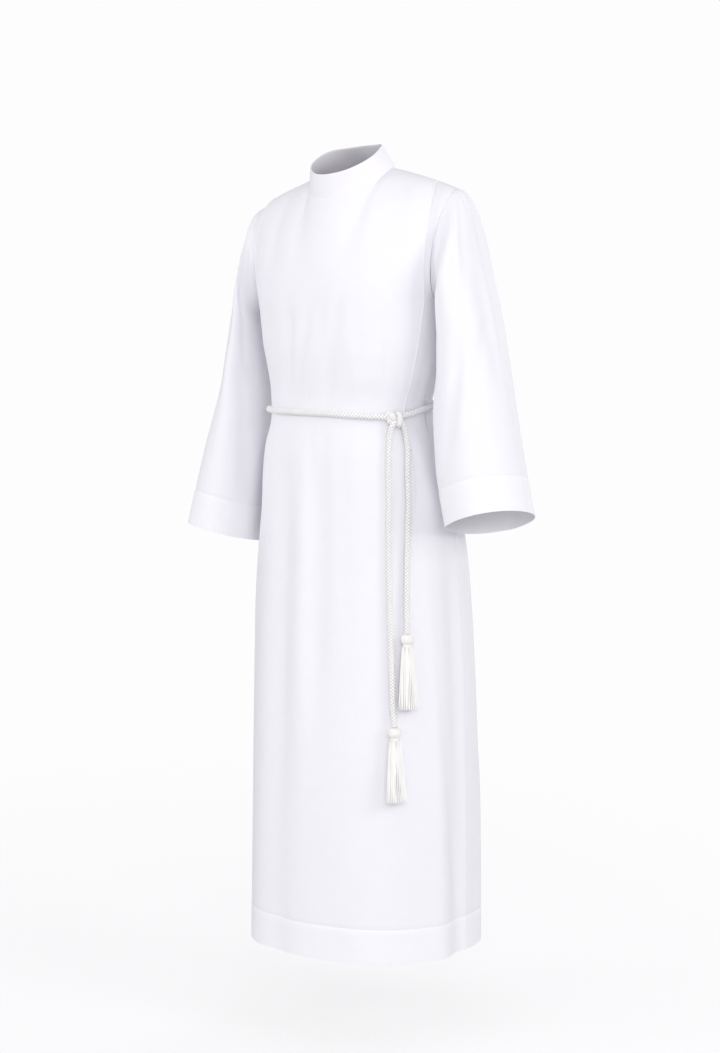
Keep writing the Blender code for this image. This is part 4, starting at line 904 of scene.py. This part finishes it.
ropeMake = {
    "diameter": 0.010, "rest": 0.0020, "strands": 4, "chevron": 0.0060, "around": 40, "step": 0.00080,
    "relief": 0.34, "full": 1.13, "under": 0.35, "girth": 0.0314, "knotRadius": 0.0054, "knotRaisedAndShade": 0.8,
    "knotUneven": 0.3,
}
beltRoute = {
    "pleatTurn": 21.6, "bump": 0.0038, "bumpFront": 38.0, "bumpSide": 12.0, "knotTurn": 30.0, "clear": 6.0,
    "knotOut": 0.003,
}

tailRoutes = {
    "left": {"level": (-0.449, -0.46, -0.488, -0.55, -0.643, -0.736, -0.844, -0.937, -0.999),
             "place": (0.660, 0.640, 0.608, 0.547, 0.499, 0.478, 0.469, 0.469, 0.475),
             "height": (0.011, 0.0105, 0.010, 0.008, 0.007, 0.007, 0.0075, 0.0095, 0.0135)},
    "right": {"level": (-0.450, -0.46, -0.487, -0.549, -0.642, -0.735, -0.828),
              "place": (0.751, 0.746, 0.731, 0.668, 0.611, 0.577, 0.559),
              "height": (0.012, 0.011, 0.0108, 0.010, 0.008, 0.009, 0.0135)},
}
tasselAims = {"left": (-1.136, 0.472, 0.0135), "right": (-0.965, 0.544, 0.0135)}


def waistPoint(turn):  # the rope's middle: clear of the cloth's section, and of each pleat that it crosses
    cut = readColumns(sections, "height", np.array(levels["belt"]))
    depth = np.where(np.sin(turn) > 0, cut["frontDepth"], cut["backDepth"])
    radius = roundedRadius(np.cos(turn), np.sin(turn), cut["halfWidth"], depth, cut["squareness"])
    radius = radius + ropeMake["diameter"] / 2 + ropeMake["rest"]
    for side in (0, 1):
        pleatTurn = math.pi * side + (1 - 2 * side) * math.radians(beltRoute["pleatTurn"])
        forward = (np.mod(turn - pleatTurn + math.pi, 2 * math.pi) - math.pi) * (1 - 2 * side)
        reach = np.radians(np.where(forward > 0, beltRoute["bumpFront"], beltRoute["bumpSide"]))
        radius = radius + beltRoute["bump"] * eased(1.25 - np.abs(forward) / reach)
    x = cut["sideways"] + radius * np.cos(turn)
    y = cut["back"] - radius * np.sin(turn)
    return np.stack(np.broadcast_arrays(x, y, levels["belt"] + beltRiseAt(np.degrees(turn))), axis=-1)


def skinPoint(level, place, height):  # a point over the front, this far above the middle of the cloth
    across, level = np.abs(np.atleast_1d(place))[:, None], np.atleast_1d(level)[:, None]
    return bodySurface(1, -1, across, level, np.atleast_1d(height)[:, None] + 0 * across)[:, 0]


def evenly(points, step):  # the same line with points this far apart
    walked = walkedAlong(points)
    return pointsAt(points, walked, np.linspace(0, walked[-1], max(8, int(walked[-1] / step))))


def softened(points, passes):  # a line with its small corners eased, its ends kept
    points = np.array(points)
    for _ in range(passes):
        points[1:-1] = (points[:-2] + 2 * points[1:-1] + points[2:]) / 4
    return points


def throughPoints(points, count=160):  # a smooth line through a few placed points
    points = np.array(points, float)
    walked = walkedAlong(points)
    at = np.linspace(0, walked[-1], count)
    return softened(np.stack([curveThrough(walked, points[:, k], at) for k in range(3)], axis=1), 40)


# A round braid. Two sets of strands wind opposite ways, a and b count them, and they pass over and under by
# turns. Each strand is half a sine wave across, and lower where the other one crosses it.
def braidTube(name, route, reference, radius=None):
    make = ropeMake
    path = evenly(route, make["step"])
    ahead = unit(np.gradient(path, axis=0))
    side = unit(np.cross(ahead, reference))
    out = np.cross(side, ahead)
    turn = np.linspace(0, 2 * math.pi, make["around"], endpoint=False)[None, :]
    along = (np.arange(len(path)) * make["step"])[:, None]
    a = turn / (2 * math.pi) * make["strands"] + along / make["chevron"]
    b = turn / (2 * math.pi) * make["strands"] - along / make["chevron"]
    over = np.mod(np.floor(a) + np.floor(b), 2) < 1
    ridgeA, ridgeB = np.sin(math.pi * np.mod(a, 1)), np.sin(math.pi * np.mod(b, 1))
    first, second = np.where(over, ridgeA, ridgeB), np.where(over, ridgeB, ridgeA)
    # how high the strand stands, which sets its size and also the painted shade in the grooves between
    # strands
    raised = np.sqrt(first * (make["under"] + (1 - make["under"]) * second))
    # in the knot the strands stand more evenly and the painted groove shade is fainter
    if radius:  # pulled tight in the knot, the braid is smoother
        raised = make["knotRaisedAndShade"] - make["knotUneven"] * (1 - raised)
    size = (radius or make["diameter"] / 2) * (make["full"] - make["relief"] * (1 - raised))
    size[[0, -1]] *= 0.6
    flat = np.cos(turn)[..., None] * side[:, None] + np.sin(turn)[..., None] * out[:, None]
    points = path[:, None] + flat * size[..., None]
    index, quads = gridFaces(*points.shape[:2], True)
    caps = [index[0, :-1][None, ::-1], index[-1, :-1][None]]
    quads, caps = facedOutwards(quads, caps, points[0, 0], points[0, 1], points[1, 0], path[0])
    uv = np.stack(np.broadcast_arrays(turn / (2 * math.pi) * make["girth"], along), axis=-1)
    piece = newMesh(name, points, [quads, *caps], braidCotton, uv, 75, raised=raised)
    return piece, path


def knotFrame():  # the level way along the rope, the way out from the waist, and the knot's middle
    knotTurn = math.radians(beltRoute["knotTurn"])
    before, after = waistPoint(np.array([knotTurn + 0.01, knotTurn - 0.01]))
    along = unit(np.array([after[0] - before[0], after[1] - before[1], 0.0]))
    out = np.array([along[1], -along[0], 0.0])
    return along, out, waistPoint(np.array(knotTurn)) + out * beltRoute["knotOut"]


knotAlong, knotOutwards, knotCentre = knotFrame()


def inKnot(rows):  # millimetres along the rope, outwards and up, as points
    rows = np.array(rows, float) / 1000
    up = np.array([0.0, 0.0, 1.0])
    return knotCentre + rows[:, :1] * knotAlong + rows[:, 1:2] * knotOutwards + rows[:, 2:] * up


# the stretches of rope that show in the knot, and where the belt and the tails leave it
knotRoutes = {
    "upright": ((1, -5, 0), (3.4, 0, 3.6), (5.2, 5, 4.4), (5.9, 7.4, 0), (5.9, 7.6, -6), (5.6, 6.6, -11.5),
                (5.2, 2, -15), (4, -4, -13.5)),
    "middle": ((-9, -5, 4), (-8.4, 0, 4.2), (-7.6, 5.4, 3.2), (-6.8, 6.6, 0.4), (-5, 4.2, -2.6), (-3, 0, -4),
               (-1, -4, -4)),
    "under": ((-6, -4, -2), (-10.5, -1.5, -5.2), (-11.8, 0.2, -6.4), (-8, 0, -7.2), (-3, -4, -6)),
    "behind": ((-15, -6, 1.5), (-12, -3, 4.4), (-8.5, -2.5, 4.8), (-4, -4, 3.5)),
}
beltEnds = (((-11, -3.5, -1.5), (-15, -3, -0.5)), ((13, -3, 0.5), (10, -4, 0)))
tailStarts = {
    "left": ((4, 0, -1), (-1.1, 5.4, -5.2), (-6.3, 7, -11.5)),
    "right": ((5, -3, 0), (10, -1.5, -4), (13.2, 0.5, -9.5)),
}


def makeRope():  # round the waist from one side of the knot to the other
    knotTurn, clear = math.radians(beltRoute["knotTurn"]), math.radians(beltRoute["clear"])
    waist = waistPoint(np.linspace(knotTurn + clear, knotTurn + 2 * math.pi - clear, 400))
    route = softened(np.concatenate([inKnot(beltEnds[0]), waist[6:-6], inKnot(beltEnds[1])]), 6)
    belt, beltPath = braidTube("cinctureBelt", route, np.array([0.0, 0.0, 1.0]))
    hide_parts("belt_loop")


def makeKnot():  # the four stretches stand for one solid
    for key, rows in knotRoutes.items():
        reference = knotAlong if key in ("upright", "middle") else knotOutwards
        route = throughPoints(inKnot(rows))
        piece, _ = braidTube("cinctureKnot" + key.capitalize(), route, reference, ropeMake["knotRadius"])
    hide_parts("belt_knot")


def makeTail(key):  # out of the knot, and down over the cloth
    rows = tailRoutes[key]
    level = np.linspace(rows["level"][0], rows["level"][-1], 160)
    place = curveThrough([-v for v in rows["level"]], rows["place"], -level)
    height = curveThrough([-v for v in rows["level"]], rows["height"], -level)
    hanging = skinPoint(level, place, height)
    start = inKnot(tailStarts[key])
    # the lead runs on over the first of the hanging points, so that the two join without a kink
    lead = throughPoints(np.concatenate([start, hanging[6:30:6]]), 60)
    route = softened(evenly(np.concatenate([lead[:-1], hanging[24:]]), 0.002), 8)
    tail, path = braidTube("cinctureTail" + key.capitalize(), route, np.array([0.0, 1.0, 0.0]))
    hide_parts("rope_tail_" + key)
    return tail, path, hanging[-1]


makeRope()
makeKnot()
print("rope and knot made")


# tassels: a thread-covered ball, a binding, and a skirt of yarns

tasselMake = {
    "ballWidth": 0.0122, "ballHeight": 0.0200, "ring": 0.0080, "ringHeight": 0.0045, "length": 0.137,
    "skirtTop": 0.0098, "skirtBottom": 0.0180, "yarns": (55, 42, 28), "rings": (1.0, 0.72, 0.42),
    "yarn": 0.00112, "yarnSides": 5, "flatness": 0.80, "lean": 0.04, "sway": (0.0004, 0.0003),
    "neck": 0.0042, "binding": 0.0009, "threads": 24, "twist": 270.0, "threadTall": 0.022,
    "bindingTall": 0.006, "headFlatness": 0.92,
}


def tasselFrame(top, aim):  # the ways down, out from the robe and aside
    down = unit(aim - top)
    out = unit(np.array([top[0], top[1], 0.0]))
    out = unit(out - down * (out @ down))
    return down, out, np.cross(down, out)


def tasselHead(top, down, out, aside):  # half an ellipse turned round, then two turns of binding
    make = tasselMake
    share, ringShare = np.linspace(0, 1, 30), np.linspace(0, 1, 17)
    ballDepth = (make["ballHeight"] * (1 - np.cos(math.pi * share)) / 2)[:-4]
    ballRadius = np.maximum(make["neck"], make["ballWidth"] * np.sin(math.pi * share) ** 0.75)[:-4]
    ballRadius = np.maximum(ballRadius, np.where(share[:-4] > 0.5, make["ring"], 0))
    ringDepth = make["ballHeight"] + make["ringHeight"] * ringShare
    ringRadius = make["ring"] + make["binding"] * np.abs(np.sin(2.5 * math.pi * ringShare))
    depth = np.concatenate([ballDepth, ringDepth, [ringDepth[-1] + 0.002]])[:, None]
    radius = np.concatenate([ballRadius, ringRadius, [0.006]])[:, None]
    turn = np.linspace(0, 2 * math.pi, 96, endpoint=False)
    threads = np.sin(turn * make["threads"] + make["twist"] * depth)
    onBall = (np.arange(len(depth)) < len(ballDepth))[:, None]
    size = radius * (1 + np.where(onBall, make["threadTall"], make["bindingTall"]) * threads)
    x, y = np.cos(turn) * size, np.sin(turn) * size * make["headFlatness"]
    points = top + down * (0.0002 + depth)[..., None] + aside * x[..., None] + out * y[..., None]
    index, quads = gridFaces(len(depth), len(turn), True)
    caps = [index[0, :-1][None, ::-1], index[-1, :-1][None]]
    quads, caps = facedOutwards(quads, caps, points[5, 0], points[5, 1], points[6, 0], top + down * depth[5])
    uv = np.stack(np.broadcast_arrays(turn * 0.012, depth), axis=-1)
    # the thread ridges come back as a painted shade between the threads of the ball and binding
    return points.reshape(-1, 3), [quads, *caps], (0.5 + 0.5 * threads).ravel(), uv.reshape(-1, 2)


# Three rings of yarns, each a thin tube. They spread as they drop, end unevenly, and sway in two sine waves
# that grow on the way down.
def tasselSkirt(top, down, out, aside, base):
    make = tasselMake
    counts = np.array(make["yarns"])
    yarn = np.arange(counts.sum())
    within = yarn - np.repeat(np.cumsum(counts) - counts, counts)
    spread = np.repeat(make["rings"], counts)
    angle = 2 * math.pi * (within + 0.4 * np.sin(yarn * 2.7) + 2 * spread) / np.repeat(counts, counts)
    drop = np.linspace(0, 1, 14)[:, None]
    ended = 1 + 0.010 * np.sin(yarn * 2.7) + 0.006 * np.sin(yarn * 0.9) - 0.01 * spread**2
    reach = (make["skirtTop"] + (make["skirtBottom"] - make["skirtTop"]) * drop**0.85) * spread
    slow, fast = np.sin(yarn * 0.35 + 4 * drop), np.sin(yarn * 3.1 + 7 * drop)
    sway = (make["sway"][0] * slow + make["sway"][1] * fast) * drop
    first = make["ballHeight"] + make["ringHeight"] - 0.001
    depths = first + (make["length"] - first) * drop * ended
    middle = top + down * depths[..., None] + aside * (np.cos(angle) * reach + sway)[..., None]
    leaning = np.sin(angle) * reach * make["flatness"] + make["lean"] * (depths - first)
    middle = middle + out * leaning[..., None]
    corners = np.arange(make["yarnSides"]) * 2 * math.pi / make["yarnSides"]
    thick = make["yarn"] * (0.55 + 0.45 * eased(drop * 6)) * (1 + 0.12 * np.sin(yarn * 5.3))
    thick = thick * np.where(drop > 0.99, 0.55, 1.0)
    ring = np.cos(corners)[:, None] * aside + np.sin(corners)[:, None] * out
    strands = middle[:, :, None] + thick[..., None, None] * ring
    strands = strands.transpose(1, 0, 2, 3)  # yarn, row, corner
    shape = strands.shape[:3]
    at = np.arange(strands[..., 0].size).reshape(shape) + base
    following = np.roll(at, -1, axis=2)
    tube = np.stack([at[:, :-1], at[:, 1:], following[:, 1:], following[:, :-1]], axis=-1).reshape(-1, 4)
    ends = [at[:, 0], at[:, -1, ::-1]]
    corner, below, beside = strands[0, 3, 0], strands[0, 4, 0], strands[0, 3, 1]
    tube, ends = facedOutwards(tube, ends, corner, below, beside, middle[3, 0])
    # the inner rings of yarn get a darker painted shade than the outer ring
    raised = np.broadcast_to((0.35 + 0.65 * spread)[:, None, None], shape)
    around = corners * 0.001 + yarn[:, None, None] * 0.01
    uv = np.stack(np.broadcast_arrays(around, depths.T[:, :, None]), axis=-1)
    return strands.reshape(-1, 3), [tube, *ends], raised.ravel(), uv.reshape(-1, 2)


def makeTassel(key, top, aim):
    ways = tasselFrame(top, aim)
    head = tasselHead(top, *ways)
    skirt = tasselSkirt(top, *ways, len(head[0]))
    vertices, raised, uv = [np.concatenate([head[k], skirt[k]]) for k in (0, 2, 3)]
    name = "cinctureTassel" + key.capitalize()
    piece = newMesh(name, vertices, head[1] + skirt[1], yarnCotton, uv, 70, raised=raised)
    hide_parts("tassel_" + key)
    return piece


for key in ("left", "right"):
    tail, path, end = makeTail(key)
    aim = skinPoint(*tasselAims[key])[0]
    tassel = makeTassel(key, end, aim)
print("tails and tassels made")


# stitching: short raised stitches along the hem and the cuffs

stitchMake = {"pitch": 0.0034, "long": 0.0026, "wide": 0.0005, "proud": 0.00022}


def stitchRow(name, line, outwards):  # one small rounded bar for each stitch, all alike
    walked = walkedAlong(line)
    at = np.arange(stitchMake["pitch"], walked[-1] - stitchMake["pitch"], stitchMake["pitch"])
    middle = pointsAt(line, walked, at)
    out = unit(pointsAt(outwards, walked, at))
    ahead = unit(np.gradient(middle, axis=0))
    aside = np.cross(out, ahead)
    x = np.repeat(np.array([-1, -0.7, 0.7, 1]) * stitchMake["long"] / 2, 4)[:, None]
    tall = np.repeat(np.array([0.25, 1, 1, 0.25]), 4)
    ring = np.tile(np.array([(-1, -0.6), (-0.7, 1), (0.7, 1), (1, -0.6)]), (4, 1))
    y = (ring[:, 0] * tall * stitchMake["wide"] / 2)[:, None]
    z = (ring[:, 1] * tall * stitchMake["proud"])[:, None]
    points = middle[:, None] + x * ahead[:, None] + y * aside[:, None] + z * out[:, None]
    bar = np.arange(16).reshape(4, 4)
    beside = np.roll(bar, -1, 1)
    quads = np.stack([bar[:-1], beside[:-1], beside[1:], bar[1:]], axis=-1).reshape(-1, 4)
    quads = np.concatenate([quads, bar[0][None, ::-1], bar[3][None]])
    faces = (quads[None] + 16 * np.arange(len(middle))[:, None, None]).reshape(-1, 4)
    count = len(middle) * 16
    piece = newMesh(name, points, [faces], threadCotton, np.zeros((count, 2)), raised=np.ones(count))
    return piece


def rowNear(values, target):  # the place of the nearest value
    return int(np.argmin(np.abs(values - target)))


def makeStitching():  # a row on every panel's hem, and one round each cuff
    line = rowNear(bodyRows(), levels["hem"] + hem["band"] - hem["stitchesBelow"])
    made = {}
    panels = {
        "Front": frontPoints, "FrontSideLeft": sideLeftPoints, "FrontSideRight": sideRightPoints,
        "BackLeft": backLeftPoints, "BackRight": backRightPoints,
    }
    for name, points in panels.items():
        out = gridNormals(points)[line]
        made[name] = stitchRow("hemStitches" + name, points[line] + out * hem["wall"] / 2, out)
    for name, points in (("Left", sleeveLeftPoints), ("Right", sleeveRightPoints)):
        heights = np.linalg.norm(points[:, 0] - points[0, 0], axis=-1)
        row = rowNear(heights, sleeveMake["cuff"] - hem["stitchesBelow"])
        loop = np.concatenate([points[row], points[row, :1]])
        normal = gridNormals(points, True)[row]
        out = np.concatenate([normal, normal[:1]])
        made["Cuff" + name] = stitchRow("cuffStitches" + name, loop + out * sleeveMake["wall"] / 2, out)
    return made


stitches = makeStitching()
print("stitching made")


# floor and light

studio = {
    "floorLevel": -1.60, "floorHalf": 6.0, "fadeFrom": 0.5, "fadeTo": 2.6, "clearest": 0.75,
    "floorColour": "f6f6f8", "backdropColour": "fdfdfe", "skyColour": "f8f7fa", "skyBright": 0.85,
    "skyDim": 0.32, "brightSide": (0.33, -0.80, 0.50), "aim": (0.0, 0.0, -0.7),
}
lamps = {  # name: (place, size, watts, colour)
    "near": ((2.6, -3.5, 0.5), 1.8, 47.0, "fffdfb"),
    "side": ((4.3, -0.5, 0.9), 1.6, 50.0, "fffdfd"),
    "far": ((-3.1, -3.1, 0.5), 1.8, 50.0, "ffffff"),
    "behind": ((0.4, 4.4, 0.6), 1.8, 60.0, "ffffff"),
}


def makeFloor():
    half, level = studio["floorHalf"], studio["floorLevel"]
    corners = [(-half, -half, level), (half, -half, level), (half, half, level), (-half, half, level)]
    material, tree, shader = newMaterial("pale painted floor", studio["floorColour"], 0.75, 0.0)
    # the floor clears away from the middle outwards, so that no edge of it shows
    place = addNode(tree, "ShaderNodeTexCoord").outputs["Object"]
    flat = addNode(tree, "ShaderNodeVectorMath", {"operation": "MULTIPLY"}, _0=place, _1=(1.0, 1.0, 0.0))
    away = addNode(tree, "ShaderNodeVectorMath", {"operation": "LENGTH"}, _0=flat.outputs["Vector"])
    span = {"From_Min": studio["fadeFrom"], "From_Max": studio["fadeTo"], "To_Min": studio["clearest"]}
    smooth = {"interpolation_type": "SMOOTHSTEP"}
    fade = addNode(tree, "ShaderNodeMapRange", smooth, Value=away.outputs["Value"], **span)
    clear = addNode(tree, "ShaderNodeBsdfTransparent")
    ways = {"_1": shader.outputs["BSDF"], "_2": clear.outputs["BSDF"]}
    both = addNode(tree, "ShaderNodeMixShader", _0=fade.outputs["Result"], **ways)
    tree.links.new(both.outputs["Shader"], tree.nodes["Material Output"].inputs["Surface"])
    mesh = bpy.data.meshes.new("floor")
    mesh.from_pydata(corners, [], [(0, 1, 2, 3)])
    mesh.materials.append(material)
    floor = bpy.data.objects.new("floor", mesh)
    bpy.context.scene.collection.objects.link(floor)


def makeLight(name, place, size, watts, colour):  # a square lamp that looks at the waist
    light = bpy.data.lights.new(name, "AREA")
    light.size = size
    light.energy = watts
    light.color = linear(colour)[:3]
    lamp = bpy.data.objects.new(name, light)
    lamp.location = place
    away = np.array(place) - np.array(studio["aim"])
    tilt = math.atan2(math.hypot(away[0], away[1]), away[2])
    lamp.rotation_euler = (tilt, 0.0, math.atan2(away[0], -away[1]))
    bpy.context.scene.collection.objects.link(lamp)


def makeSky():  # an even pale studio: lights the robe softly, and shows as a plain backdrop
    world = bpy.data.worlds.new("studio")
    world.use_nodes = True
    tree = world.node_tree
    tree.nodes.clear()
    path = addNode(tree, "ShaderNodeLightPath")
    way = addNode(tree, "ShaderNodeTexCoord").outputs["Generated"]
    dot = {"operation": "DOT_PRODUCT"}
    turned = addNode(tree, "ShaderNodeVectorMath", dot, _0=way, _1=studio["brightSide"])
    span = {"From_Min": -1.0, "From_Max": 1.0, "To_Min": studio["skyDim"], "To_Max": studio["skyBright"]}
    strength = addNode(tree, "ShaderNodeMapRange", Value=turned.outputs["Value"], **span).outputs["Result"]
    skyColour, backdropColour = linear(studio["skyColour"]), linear(studio["backdropColour"])
    light = addNode(tree, "ShaderNodeBackground", Color=skyColour, Strength=strength).outputs[0]
    seen = addNode(tree, "ShaderNodeBackground", Color=backdropColour, Strength=1.0).outputs[0]
    mix = addNode(tree, "ShaderNodeMixShader", _0=path.outputs["Is Camera Ray"], _1=light, _2=seen)
    addNode(tree, "ShaderNodeOutputWorld", Surface=mix.outputs[0])
    bpy.context.scene.world = world


makeFloor()
for name, (place, size, watts, colour) in lamps.items():
    makeLight(name, place, size, watts, colour)
makeSky()
bpy.context.scene.view_settings.view_transform = "Standard"
print("floor and light made")
